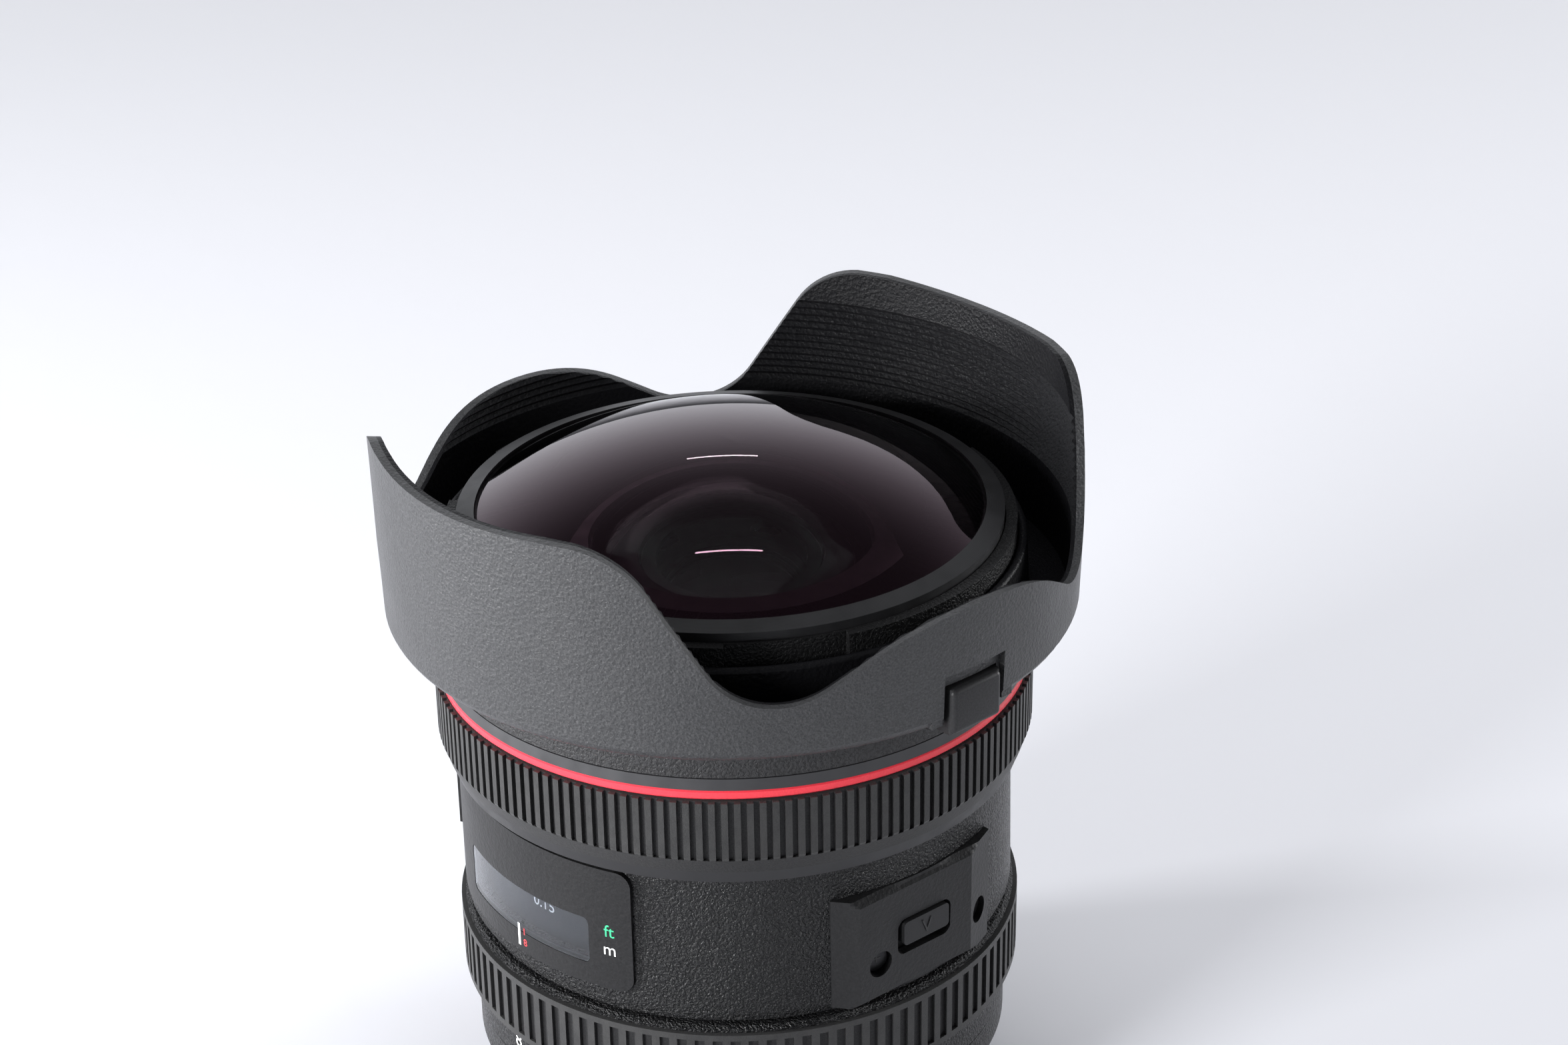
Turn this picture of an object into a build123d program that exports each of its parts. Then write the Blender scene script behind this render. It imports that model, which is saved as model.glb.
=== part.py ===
from build123d import *
import os
from math import atan2, cos, degrees, radians, sin, sqrt

os.makedirs("parts", exist_ok=True)

# Fisheye zoom lens with its hood on. Millimetres. The origin is the centre of the mount
# flange, +Z runs along the optical axis to the front glass, and -Y is the top of the lens,
# where the distance window is.

# Clearances shared by every fit
running_gap = 0.1
fit_gap = 0.05
slide_gap = 0.2
end_gap = 0.3
overrun = 2.0

# Guide tube, the fixed tube that carries the three moving groups
guide_bore_radius = 30.4
guide_wall = 1.3
guide_outer_radius = guide_bore_radius + guide_wall
group_radius = guide_bore_radius - slide_gap

# Mount and rear barrel
flange_radius = 32.4
flange_thickness = 2.6
throat_radius = 26.9
throat_bore_radius = 24.9
throat_length = 3.4
lug_radius = 28.8
lug_thickness = 1.7
lug_angle = 48.0
lock_notch_radius = 1.6
lock_notch_depth = 1.5
flange_screw_circle_radius = 29.9
flange_screw_head = 1.5
flange_screw_radius = 0.85
flange_screw_length = 6.0
flange_screws = 4
seal_thickness = 1.1
seal_lip = 0.6
web_height = 3.9
web_thickness = 1.5
web_bore_radius = 14.5
rear_wall_rise = 3.2
rear_flare = 2.1
rear_ring_bore_radius = 28.0
web_z = flange_thickness + web_height
seat_z = web_z + web_thickness
rear_top_z = seat_z + rear_wall_rise

# Light baffle, filter holder and contacts at the rear
baffle_reach = 5.9
baffle_wall = 1.4
baffle_web = 1.2
baffle_web_drop = 0.4
baffle_window_radius = 12.4
baffle_rim = 1.3
baffle_rim_thickness = 1.0
holder_size = 25.0
holder_window = 19.0
holder_thickness = 1.2
holder_clip = 1.6
holder_corner = 2.0
contact_depth = 2.8
contact_height = 4.0
contact_angle = 64.0
contact_pin_radius = 0.7
contact_pin_rise = 0.3
contact_pin_pitch = 7.5
contact_pin_count = 8
baffle_radius = throat_bore_radius - fit_gap
baffle_web_z = -baffle_web_drop

# Circuit board, lying on the rear web
board_bore_radius = 15.5
board_thickness = 1.0
board_radius = guide_bore_radius - running_gap - fit_gap
chip_size = 5.0
chip_height = 1.2
chip_circle_radius = 23.0
chip_count = 5
chip_step = 52.0

# Cam barrel, turning on the guide tube
cam_wall = 1.2
cam_length = 35.2
cam_lift = 2.0
cam_bore_radius = guide_outer_radius + slide_gap
cam_outer_radius = cam_bore_radius + cam_wall
cam_foot_z = seat_z + cam_lift
cam_top_z = cam_foot_z + cam_length
key_width = 6.0
key_height = 2.6
key_depth = 0.8

# Zoom travel. The zoom ring rests near its wide stop, and turns back to the long stop.
zoom_turn_on = 5.0
zoom_turn_back = 51.0
zoom_turn = zoom_turn_on + zoom_turn_back
front_group_travel = 2.5
zoom_group_travel = 9.0
front_lead = front_group_travel / zoom_turn
zoom_lead = zoom_group_travel / zoom_turn
roller_radius = 1.2
front_roller_rise = 34.0
zoom_roller_rise = 9.0
front_roller_angle = 90.0
zoom_roller_angle = 30.0
rollers = 3
front_roller_z = seat_z + front_roller_rise
zoom_roller_z = seat_z + zoom_roller_rise

# Fixed barrel
low_barrel_gap = 0.6
low_barrel_wall = 1.2
low_barrel_bore_radius = cam_outer_radius + low_barrel_gap
low_barrel_radius = low_barrel_bore_radius + low_barrel_wall
groove_wall = 0.8
groove_radius = low_barrel_radius + groove_wall
drum_wall = 0.7
drum_play = 0.9
drum_bore_radius = cam_outer_radius + drum_play
drum_radius = drum_bore_radius + drum_wall
window_barrel_gap = 0.4
window_barrel_bore_radius = drum_radius + window_barrel_gap
window_barrel_wall = 1.55
window_barrel_taper = 0.3
window_barrel_radius = window_barrel_bore_radius + window_barrel_wall
focus_barrel_wall = 1.0
focus_barrel_step = 0.45
focus_barrel_radius = window_barrel_radius - window_barrel_taper - focus_barrel_step
focus_barrel_bore_radius = focus_barrel_radius - focus_barrel_wall

# Lengths of the outer rings, from the rear to the front
zoom_ring_length = 15.6
barrel_groove_length = 1.9
window_barrel_length = 19.9
focus_ring_length = 12.0
accent_height = 1.3
trim_height = 1.5
name_line_gap = 0.15
name_band_length = 4.85
bayonet_length = 12.05
zoom_foot_z = rear_top_z + end_gap
zoom_top_z = zoom_foot_z + zoom_ring_length
barrel_step_z = zoom_top_z + barrel_groove_length
shoulder_z = barrel_step_z + window_barrel_length
focus_foot_z = shoulder_z + end_gap
focus_top_z = focus_foot_z + focus_ring_length
accent_z = focus_top_z + slide_gap
trim_z = accent_z + accent_height
name_z = trim_z + trim_height + name_line_gap
name_step_z = name_z + name_band_length
name_top_z = name_step_z + bayonet_length

# Zoom ring and its grip
zoom_scale_wall = 1.05
zoom_sleeve_wall = 1.4
zoom_lip_wall = 2.0
zoom_lip_height = 0.7
zoom_scale_height = 5.6
zoom_grip_thickness = 1.2
zoom_grooves = 104
zoom_groove_depth = 0.5
zoom_groove_end = 0.9
zoom_groove_width = 1.25
zoom_bore_radius = low_barrel_radius + running_gap
zoom_scale_radius = zoom_bore_radius + zoom_scale_wall
zoom_sleeve_radius = zoom_bore_radius + zoom_sleeve_wall
zoom_grip_radius = zoom_sleeve_radius + zoom_grip_thickness
zoom_grip_z = zoom_foot_z + zoom_scale_height
zoom_lip_z = zoom_top_z - zoom_lip_height

# Focus ring and its grip
focus_sleeve_wall = 1.9
focus_lip_wall = 2.2
focus_lip_height = 1.85
focus_lip_draft = 0.6
focus_border_height = 1.95
focus_border_draft = 0.4
focus_grip_thickness = 1.2
focus_grooves = 157
focus_groove_depth = 0.6
focus_groove_width = 0.75
focus_bore_radius = focus_barrel_radius + running_gap
focus_sleeve_radius = focus_bore_radius + focus_sleeve_wall
focus_grip_radius = focus_sleeve_radius + focus_grip_thickness
focus_grip_z = focus_foot_z + focus_lip_height
focus_turn = 120.0

# Focus drive inside the barrel
drive_ring_lift = 0.4
drive_ring_height = 1.6
drive_ring_depth = 1.7
drive_key_width = 5.0
drive_key_margin = 0.1
race_gap = 0.3
race_height = 1.8
rotor_gap = 0.2
rotor_height = 2.0
stator_teeth = 48
stator_tooth_depth = 0.7
stator_tooth_gap = 0.6
output_wall = 0.75
output_bore_radius = guide_outer_radius + 0.75 * slide_gap
output_radius = output_bore_radius + output_wall
motor_radius = focus_barrel_bore_radius - slide_gap
motor_bore_radius = output_radius + slide_gap
drive_ring_z = focus_foot_z + drive_ring_lift
race_z = drive_ring_z + drive_ring_height + race_gap
rotor_z = race_z + race_height + rotor_gap
stator_z = rotor_z + rotor_height
race_rollers = 6

# Focus travel
focus_travel = 2.4
output_turn = focus_turn / 2
focus_lead = focus_travel / output_turn
focus_pin_radius = 1.2
focus_pin_lift = 6.4
focus_pin_z = focus_foot_z + focus_pin_lift
focus_pin_angle = 30.0

# Distance scale drum and the window over it
drum_foot_rise = 2.0
drum_flange_gap = 0.8
drum_foot_z = barrel_step_z + drum_foot_rise
drum_top_z = cam_top_z + drum_flange_gap
drum_flange_height = 1.2
plate_depth = 0.8
plate_rise = 0.35
plate_seat_radius = window_barrel_bore_radius + window_barrel_wall - plate_depth
plate_radius = window_barrel_radius + plate_rise
window_half_angle = 28.5
window_plate_height = 17.5
window_plate_drop = 0.5
window_corner = 2.0
glass_half_angle = 19.0
glass_height = 6.7
glass_drop = 7.8
glass_corner = 0.8
glass_ledge = 0.5
glass_thickness = 0.7
glass_ledge_angle = degrees(glass_ledge / plate_radius)
window_top_z = shoulder_z - window_plate_drop
window_foot_z = window_top_z - window_plate_height
glass_top_z = window_top_z - glass_drop
glass_foot_z = glass_top_z - glass_height

# Switch panels
panel_half_angle = 21.0
panel_corner = 2.0
pad_rise = 0.45
pad_half_width = 5.7
limit_panel_angle = -1.3
limit_panel_height = 15.8
limit_panel_drop = 4.7
mode_panel_angle = -150.0
mode_panel_height = 12.0
mode_panel_drop = 1.0
slider_width = 7.6
slider_height = 3.4
slider_travel = 1.2
slider_rise = 0.45
slider_corner = 0.6
slot_side_gap = 0.7
slider_foot_overlap = 0.6
slider_foot_thickness = 0.4
limit_slot_drop = 5.4
mode_slot_drop = 3.0
panel_screw_near_angle = 11.2
panel_screw_far_angle = 16.0
panel_screw_drop = 10.4
panel_screw_head = 1.6
panel_screw_thickness = 0.5
panel_screw_radius = 0.7

# Name ring, accent ring and trim ring
neck_wall = 2.8
neck_flange_thickness = 1.2
cell_wall_radius = 33.7
cell_gap = 0.3
name_bore_radius = cell_wall_radius + cell_gap
neck_radius = name_bore_radius + neck_wall
name_band_wall = 4.3
name_band_radius = name_bore_radius + name_band_wall
accent_radius = name_band_radius + slide_gap
bayonet_radius = neck_radius - running_gap
bayonet_groove_depth = 1.0
bayonet_groove_rise = 3.2
bayonet_groove_width = 1.7
latch_groove_depth = 1.7
latch_groove_rise = 0.9
latch_groove_width = 1.8
bayonet_groove_z = name_step_z + bayonet_groove_rise
latch_groove_z = name_step_z + latch_groove_rise
entry_angle = 24.0
lugs = 3
lug_start_angle = 30.0
hood_twist = 60.0
accent_edge = 0.25

# Front bezel
bezel_bore_radius = 32.74
bezel_radius = 35.1
bezel_top_rise = 1.73
bezel_slope = 0.62
bezel_length = 4.9
bezel_lip = 0.42
bezel_top_z = name_top_z + bezel_top_rise
bezel_foot_z = bezel_top_z - bezel_slope - bezel_length
bezel_bore_gap = 0.15

# Hood
hood_wall = 1.7
collar_wall = 1.5
trough_width = 5.03
hood_belly_inset = 0.33
hood_flare = 0.27
hood_foot_gap = 0.3
chin_inset = 3.13
cheek_inset = 1.63
jaw_inset = 0.78
collar_bore_radius = bayonet_radius + slide_gap
collar_radius = collar_bore_radius + collar_wall
hood_waist_radius = collar_radius + trough_width + hood_wall
hood_belly_radius = hood_waist_radius - hood_belly_inset
hood_rim_radius = hood_waist_radius + hood_flare
hood_foot_radius = name_band_radius + hood_foot_gap
chin_radius = hood_waist_radius - chin_inset
cheek_radius = hood_waist_radius - cheek_inset
jaw_radius = hood_waist_radius - jaw_inset
hood_rise = 28.0
hood_waist_rise = 12.2
hood_belly_rise = 2.2
hood_floor_rise = 1.2
hood_foot_drop = 0.8
chin_rise = 0.0
cheek_rise = 0.8
jaw_rise = 1.45
collar_height = 9.8
collar_ridge_radius = 0.55
hood_lug_angle = 20.0
hood_lug_thickness = 1.3
hood_lug_reach = 0.75
hood_ribs = 12
hood_rib_pitch = 1.0
hood_rib_depth = 0.45
hood_rib_rise = 11.4
petal_dip = 0.6
petal_dip_radius = 198.0
petal_flat_angle = 20.0
petal_corner_angle = 32.9
notch_in_angle = 49.5
notch_out_angle = 60.3
crest_angle = 78.6
notch_direction = 45.0
notch_drop = 19.75
crest_drop = 11.9
petal_corner_radius = 11.5
notch_in_radius = 10.0
notch_out_radius = 10.4
crest_radius = 24.0
hood_top_z = name_step_z + hood_rise
hood_floor_z = name_step_z + hood_floor_rise

# Hood release button
button_half_width = 4.1
button_height = 6.3
button_foot_drop = 0.2
button_proud = 0.1
button_face_radius = hood_belly_radius + button_proud
button_depth = 4.0
button_travel = 1.0
button_edge = 0.5
button_gap = 0.25
button_ear = 0.9
button_ear_thickness = 1.0
housing_wall = 1.4
tongue_half_width = 2.4
tongue_height = 1.2
tooth_radius = 36.1
spring_radius = 1.2
spring_wire = 0.2
spring_turns = 4
spring_seat_depth = 1.6
button_recess_angle = 6.4
button_recess_depth = 0.7
button_recess_rise = 2.0

# Glass of the front group
dome_radius = 65.0
dome_edge_radius = 33.0
dome_rise = 8.4
dome_centre_thickness = 4.0
dome_hollow_radius = 27.0
dome_seat_drop = 5.75
dome_top_z = bezel_top_z + dome_rise
dome_seat_z = name_top_z - dome_seat_drop

# Front cell
front_cell_foot_rise = 2.6
front_cell_floor = 3.0
front_cell_z = trim_z + front_cell_foot_rise
leg_half_angle = 22.0
leg_thickness = 1.6
leg_tail = 1.6
cell_rim_gap = 0.4
pad_half_angle = 14.0

# Zoom cell and iris
zoom_barrel_radius = 13.2
zoom_cell_foot = 3.2
zoom_cell_length = 33.8
zoom_cell_web = 1.6
zoom_sleeve_height = 8.0
iris_seat_thickness = 1.5
iris_rim_height = 4.5
iris_rim_wall = 1.3
iris_bore_radius = 9.0
iris_plate_thickness = 0.8
iris_plate_radius = 18.1
blade_count = 7
blade_thickness = 0.18
blade_step = 0.25
blade_inner_radius = 9.4
blade_width = 3.6
blade_span = 76.0
pivot_circle_radius = 14.6
pivot_radius = 0.5
pivot_ear_radius = 1.0
drive_arm = 3.5
drive_arm_angle = -85.0
drive_pin_radius = 0.4
iris_turn = 40.0
blade_turn = 28.0
iris_ring_thickness = 0.8
iris_ring_bore_radius = 13.9
iris_ring_radius = 18.8
iris_motor_radius = 3.4
iris_motor_length = 10.0
iris_motor_angle = 60.0
iris_seat_z = zoom_cell_foot + zoom_cell_length
iris_ring_z = iris_seat_z + iris_plate_thickness + blade_count * blade_step + running_gap

# Focus cell
focus_cell_drop = 4.4
focus_cell_length = 9.0
focus_cell_radius = 14.6
focus_cell_web = 1.6
focus_pad_height = 4.0
focus_pad_thickness = 1.9

# Glass tables. Each row gives, as shares of its cell's length, the height of the front
# vertex and the centre thickness, then, as shares of its cell's outer radius, the front
# and rear curves (positive where the centre stands proud to the front) and the edge radius.
front_glass_shares = {
    "element_3": (0.186, 0.147, -1.69, -2.67, 0.40),
    "element_2": (1.490, 0.245, 0.95, 0.77, 0.58),
}
focus_glass_shares = {
    "focus_singlet": (0.500, 0.280, 2.20, 6.00, 0.82),
    "focus_doublet": (0.970, 0.400, 2.60, 8.00, 0.86),
}
zoom_glass_shares = {
    "element_14": (0.130, 0.070, -2.30, -5.20, 0.84),
    "doublet_12": (0.350, 0.150, 2.50, -1.70, 0.76),
    "element_11": (0.480, 0.070, -2.60, 2.40, 0.70),
    "doublet_9": (0.690, 0.155, 2.10, -1.45, 0.68),
    "element_8": (0.830, 0.070, 3.40, 1.55, 0.70),
    "element_7": (0.965, 0.090, 1.55, 4.60, 0.72),
}
seat_share = 0.06


def turn(points, mode=Mode.ADD):
    """Turns a closed outline of (radius, height) points round the optical axis."""
    with BuildSketch(Plane.XZ) as outline:
        with BuildLine():
            Polyline(*points, close=True)
        make_face()
    revolve(outline.sketch, axis=Axis.Z, mode=mode)


def band(inner, outer, low, high):
    """The outline of a plain ring."""
    return [(inner, low), (outer, low), (outer, high), (inner, high)]


def sector(inner, outer, low, high, middle, half_angle, mode=Mode.ADD):
    """Adds a piece of a ring that reaches half_angle to each side of the angle middle."""
    with BuildSketch(Plane.XZ.rotated((0, 0, middle - half_angle))) as outline:
        with BuildLine():
            Polyline(*band(inner, outer, low, high), close=True)
        make_face()
    revolve(outline.sketch, axis=Axis.Z, revolution_arc=2 * half_angle, mode=mode)


def polar(radius, angle):
    """The point on a circle about the optical axis."""
    return (radius * cos(radians(angle)), radius * sin(radians(angle)))


def facing(angle, distance, height=0):
    """A plane across the direction angle, square to it, with its Y axis along +Z."""
    x, y = polar(distance, angle)
    out_x, out_y = polar(1, angle)
    return Plane(origin=(x, y, height), x_dir=(-out_y, out_x, 0), z_dir=(out_x, out_y, 0))


def curved_plate(inner, outer, low, high, middle, half_angle, corner):
    """A plate bent round the barrel, with its four corners rounded."""
    with BuildPart() as plate:
        sector(inner, outer, low, high, middle, half_angle)
        sides = plate.edges().filter_by(GeomType.LINE)
        fillet([edge for edge in sides if abs(edge.tangent_at(0).Z) < 0.5], radius=corner)
    return plate.part


def helical_slot(inner, outer, width, low, rise, turned, start):
    """The space of a cam slot that climbs by rise while it goes round by turned degrees."""
    middle = (inner + outer) / 2
    lead = abs(rise * 360 / turned)
    path = Helix(pitch=lead, height=rise, radius=middle, center=(0, 0, low), lefthand=turned < 0)
    with BuildPart() as cutter:
        with BuildSketch(Plane.XZ):
            with Locations((middle, low)):
                Rectangle(outer - inner, width)
        sweep(path=path, is_frenet=True)
    return cutter.part.rotate(Axis.Z, start)


def sag(curve, radius):
    """How far a glass surface falls behind its vertex at a radius."""
    size = abs(curve)
    depth = size - sqrt(size * size - radius * radius)
    return depth if curve > 0 else -depth


def glass_sizes(shares, foot, length, cell_radius):
    """Turns the shares of one glass into its vertex, thickness, two curves and edge radius."""
    vertex_share, thickness_share, front_share, rear_share, edge_share = shares
    vertex = foot + vertex_share * length
    back = vertex - thickness_share * length
    return vertex, back, front_share * cell_radius, rear_share * cell_radius, edge_share * cell_radius


def glass(shares, foot, length, cell_radius):
    """One glass, turned from two arcs and a ground edge."""
    vertex, back, front, rear, edge = glass_sizes(shares, foot, length, cell_radius)
    half = edge / 2
    with BuildPart() as lens:
        with BuildSketch(Plane.XZ):
            with BuildLine():
                top = ThreePointArc(
                    (0, vertex), (half, vertex - sag(front, half)), (edge, vertex - sag(front, edge))
                )
                low = ThreePointArc(
                    (0, back), (half, back - sag(rear, half)), (edge, back - sag(rear, edge))
                )
                Line(top @ 1, low @ 1)
                Line(low @ 0, top @ 0)
            make_face()
        revolve(axis=Axis.Z)
    return lens.part


def cell_bore(table, foot, length, cell_radius):
    """The inner outline of a cell, rear to front: a ledge under each glass, then its bore."""
    seat = seat_share * cell_radius
    rows = [glass_sizes(shares, foot, length, cell_radius) for shares in table.values()]
    points = [(rows[0][4] - seat, foot)]
    for index, (vertex, back, front, rear, edge) in enumerate(rows):
        ledge = edge - seat
        ledge_z = min(back - sag(rear, edge), back - sag(rear, ledge)) - fit_gap
        bore = edge + fit_gap
        points += [(ledge, ledge_z), (bore, ledge_z)]
        if index + 1 < len(rows):
            next_ledge = rows[index + 1][4] - seat
            reach = min(next_ledge, edge)
            top_z = max(vertex - sag(front, edge), vertex - sag(front, reach)) + fit_gap
            points += [(bore, top_z), (next_ledge, top_z)]
        else:
            points.append((bore, foot + length))
    return points


# Rear end

# Bayonet mount: a flange ring that screws to the rear barrel, with a throat and three lugs
with BuildPart() as mount_ring:
    turn(
        [
            (throat_bore_radius, -throat_length),
            (throat_radius, -throat_length),
            (throat_radius, 0),
            (flange_radius, 0),
            (flange_radius, flange_thickness),
            (throat_bore_radius, flange_thickness),
        ]
    )
    for lug in range(lugs):
        middle = 360 / lugs * (lug + 0.5)
        sector(
            throat_bore_radius, lug_radius, -throat_length, lug_thickness - throat_length, middle,
            lug_angle / 2,
        )
    with BuildSketch():
        with Locations(polar(flange_radius - 1.5 * lock_notch_radius, 180)):
            Circle(lock_notch_radius)
    extrude(amount=lock_notch_depth, mode=Mode.SUBTRACT)
    with Locations(Plane.XY.rotated((180, 0, 0))):
        with PolarLocations(flange_screw_circle_radius, flange_screws, start_angle=45):
            CounterSinkHole(
                radius=flange_screw_radius + fit_gap, counter_sink_radius=flange_screw_head + fit_gap
            )
mount_ring.part.label = "mount_ring"
export_step(mount_ring.part, "parts/mount_ring.step")

# Countersunk screws that hold the mount ring, one node
with BuildPart() as mount_screws:
    with Locations(Plane.XY.offset(flange_screw_length / 2)):
        with PolarLocations(flange_screw_circle_radius, flange_screws, start_angle=45):
            Cylinder(flange_screw_radius, flange_screw_length)
    with Locations(Plane.XY.offset((flange_screw_head - flange_screw_radius) / 2)):
        with PolarLocations(flange_screw_circle_radius, flange_screws, start_angle=45):
            Cone(flange_screw_head, flange_screw_radius, flange_screw_head - flange_screw_radius)
mount_screws.part.label = "mount_screws"
export_step(mount_screws.part, "parts/mount_screws.step")

# Rubber seal round the flange, with a thin lip that meets the camera
seal_bore_radius = flange_radius + fit_gap
seal_radius = seal_bore_radius + seal_thickness
with BuildPart() as dust_seal:
    turn(
        [
            (seal_bore_radius, 0),
            (seal_radius - seal_thickness / 3, -seal_lip),
            (seal_radius, -seal_lip),
            (seal_radius - seal_thickness / 4, seal_thickness),
            (seal_radius, flange_thickness),
            (seal_bore_radius, flange_thickness),
        ]
    )
dust_seal.part.label = "dust_seal"
export_step(dust_seal.part, "parts/dust_seal.step")

# Rear barrel: outer shell with the inner web on which the barrels stand
rear_foot_radius = seal_radius + end_gap
rear_radius = rear_foot_radius + rear_flare
with BuildPart() as rear_barrel:
    turn(
        [
            (rear_ring_bore_radius, flange_thickness),
            (rear_foot_radius, flange_thickness),
            (rear_radius, seat_z - rear_flare / 2),
            (rear_radius, rear_top_z),
            (low_barrel_radius + end_gap, rear_top_z),
            (low_barrel_radius + end_gap, seat_z),
            (web_bore_radius, seat_z),
            (web_bore_radius, web_z),
            (rear_ring_bore_radius, web_z),
        ]
    )
    with BuildSketch(Plane.XY.offset(flange_thickness)):
        with PolarLocations(flange_screw_circle_radius, flange_screws, start_angle=45):
            Circle(flange_screw_radius + fit_gap)
    extrude(amount=flange_screw_length - flange_thickness + end_gap, mode=Mode.SUBTRACT)
rear_barrel.part.label = "rear_barrel"
export_step(rear_barrel.part, "parts/rear_barrel.step")

# Rear light baffle, hung in the throat by its rim; the lens stands on its end
baffle_inner_radius = baffle_radius - baffle_wall
with BuildPart() as rear_baffle:
    turn(
        [
            (baffle_inner_radius, -baffle_reach),
            (baffle_radius, -baffle_reach),
            (baffle_radius, flange_thickness),
            (baffle_radius + baffle_rim, flange_thickness),
            (baffle_radius + baffle_rim, flange_thickness + baffle_rim_thickness),
            (baffle_inner_radius, flange_thickness + baffle_rim_thickness),
            (baffle_inner_radius, baffle_web_z + baffle_web),
            (baffle_window_radius, baffle_web_z + baffle_web),
            (baffle_window_radius, baffle_web_z),
            (baffle_inner_radius, baffle_web_z),
        ]
    )
rear_baffle.part.label = "rear_baffle"
export_step(rear_baffle.part, "parts/rear_baffle.step")

# Holder for a cut square of gelatin filter, flat against the baffle's web
with BuildPart() as filter_holder:
    with BuildSketch(Plane.XY.offset(baffle_web_z)):
        RectangleRounded(holder_size, holder_size, holder_corner)
        RectangleRounded(holder_window, holder_window, holder_corner, mode=Mode.SUBTRACT)
    extrude(amount=-holder_thickness)
    with BuildSketch(Plane.XY.offset(baffle_web_z - holder_thickness)):
        with Locations((holder_size / 2 - holder_clip / 2, 0), (holder_clip / 2 - holder_size / 2, 0)):
            Rectangle(holder_clip, holder_window)
    extrude(amount=-holder_thickness)
filter_holder.part.label = "filter_holder"
export_step(filter_holder.part, "parts/filter_holder.step")

# Contact block: a curved block inside the baffle, with a row of contacts on its end
contact_radius = baffle_inner_radius - fit_gap
contact_middle_radius = contact_radius - contact_depth / 2
contact_face_z = baffle_web_z - contact_height
with BuildPart() as contact_block:
    sector(
        contact_radius - contact_depth, contact_radius, contact_face_z, baffle_web_z, 90, contact_angle / 2
    )
    first_contact = 90 - contact_pin_pitch * (contact_pin_count - 1) / 2
    with BuildSketch(Plane.XY.offset(contact_face_z)):
        for contact in range(contact_pin_count):
            with Locations(polar(contact_middle_radius, first_contact + contact * contact_pin_pitch)):
                Circle(contact_pin_radius)
    extrude(amount=-contact_pin_rise)
contact_block.part.label = "contact_block"
export_step(contact_block.part, "parts/contact_block.step")

# Ring-shaped circuit board with its larger chips
with BuildPart() as circuit_board:
    turn(band(board_bore_radius, board_radius, seat_z, seat_z + board_thickness))
    with BuildSketch(Plane.XY.offset(seat_z + board_thickness)):
        with PolarLocations(chip_circle_radius, chip_count, -chip_step, chip_count * chip_step):
            Rectangle(chip_size, chip_size)
    extrude(amount=chip_height)
circuit_board.part.label = "circuit_board"
export_step(circuit_board.part, "parts/circuit_board.step")

# Fixed tubes

# Guide tube: straight slots keep the three groups from turning
guide_top_z = focus_top_z
front_travel_up = front_lead * zoom_turn_on
front_travel_down = front_lead * zoom_turn_back
zoom_travel_up = zoom_lead * zoom_turn_back
zoom_travel_down = zoom_lead * zoom_turn_on
slot_half = roller_radius + running_gap


def straight_slots(low, high, half_width, first_angle):
    """Cuts round-ended slots along the axis, at equal steps round the guide tube."""
    for index in range(rollers):
        angle = first_angle + index * 360 / rollers
        middle = (low + high) / 2
        with BuildSketch(facing(angle, guide_bore_radius - overrun, middle)) as slot:
            SlotOverall(high - low + 2 * half_width, 2 * half_width, rotation=90)
        extrude(slot.sketch, amount=guide_wall + 2 * overrun, mode=Mode.SUBTRACT)


with BuildPart() as guide_tube:
    turn(band(guide_bore_radius, guide_outer_radius, seat_z, guide_top_z))
    straight_slots(
        front_roller_z - front_travel_down - end_gap, front_roller_z + front_travel_up + end_gap,
        slot_half, front_roller_angle,
    )
    straight_slots(
        zoom_roller_z - zoom_travel_down - end_gap, zoom_roller_z + zoom_travel_up + end_gap,
        slot_half, zoom_roller_angle,
    )
    straight_slots(
        focus_pin_z - end_gap, focus_pin_z + focus_travel + end_gap,
        focus_pin_radius + running_gap, focus_pin_angle,
    )
guide_tube.part.label = "guide_tube"
export_step(guide_tube.part, "parts/guide_tube.step")

# Fixed barrel: one stepped tube from the rear web to the name ring
key_half_angle = degrees(key_width / 2 / low_barrel_bore_radius)
key_angle = 90.0
key_margin = 1.0
key_z = zoom_foot_z + end_gap
key_window_middle = key_angle + (zoom_turn_on - zoom_turn_back) / 2
key_window_half = zoom_turn / 2 + key_half_angle + key_margin
drive_key_half_angle = degrees(drive_key_width / 2 / motor_radius)
drive_key_angle = 30.0
drive_key_z = drive_ring_z + drive_key_margin
drive_key_height = drive_ring_height - 2 * drive_key_margin
inner_step_z = barrel_step_z + drum_foot_rise / 2

window_recess = curved_plate(
    plate_seat_radius, plate_radius + overrun, window_foot_z - fit_gap, window_top_z + fit_gap,
    -90, window_half_angle + key_margin / 20, window_corner,
)


def panel_plate(inner, outer, top, height, angle, grow):
    """The bent plate of a switch panel, made larger by grow for its recess."""
    wider = degrees(grow / window_barrel_radius)
    return curved_plate(
        inner, outer, top - height - grow, top + grow, angle, panel_half_angle + wider, panel_corner
    )


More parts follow.
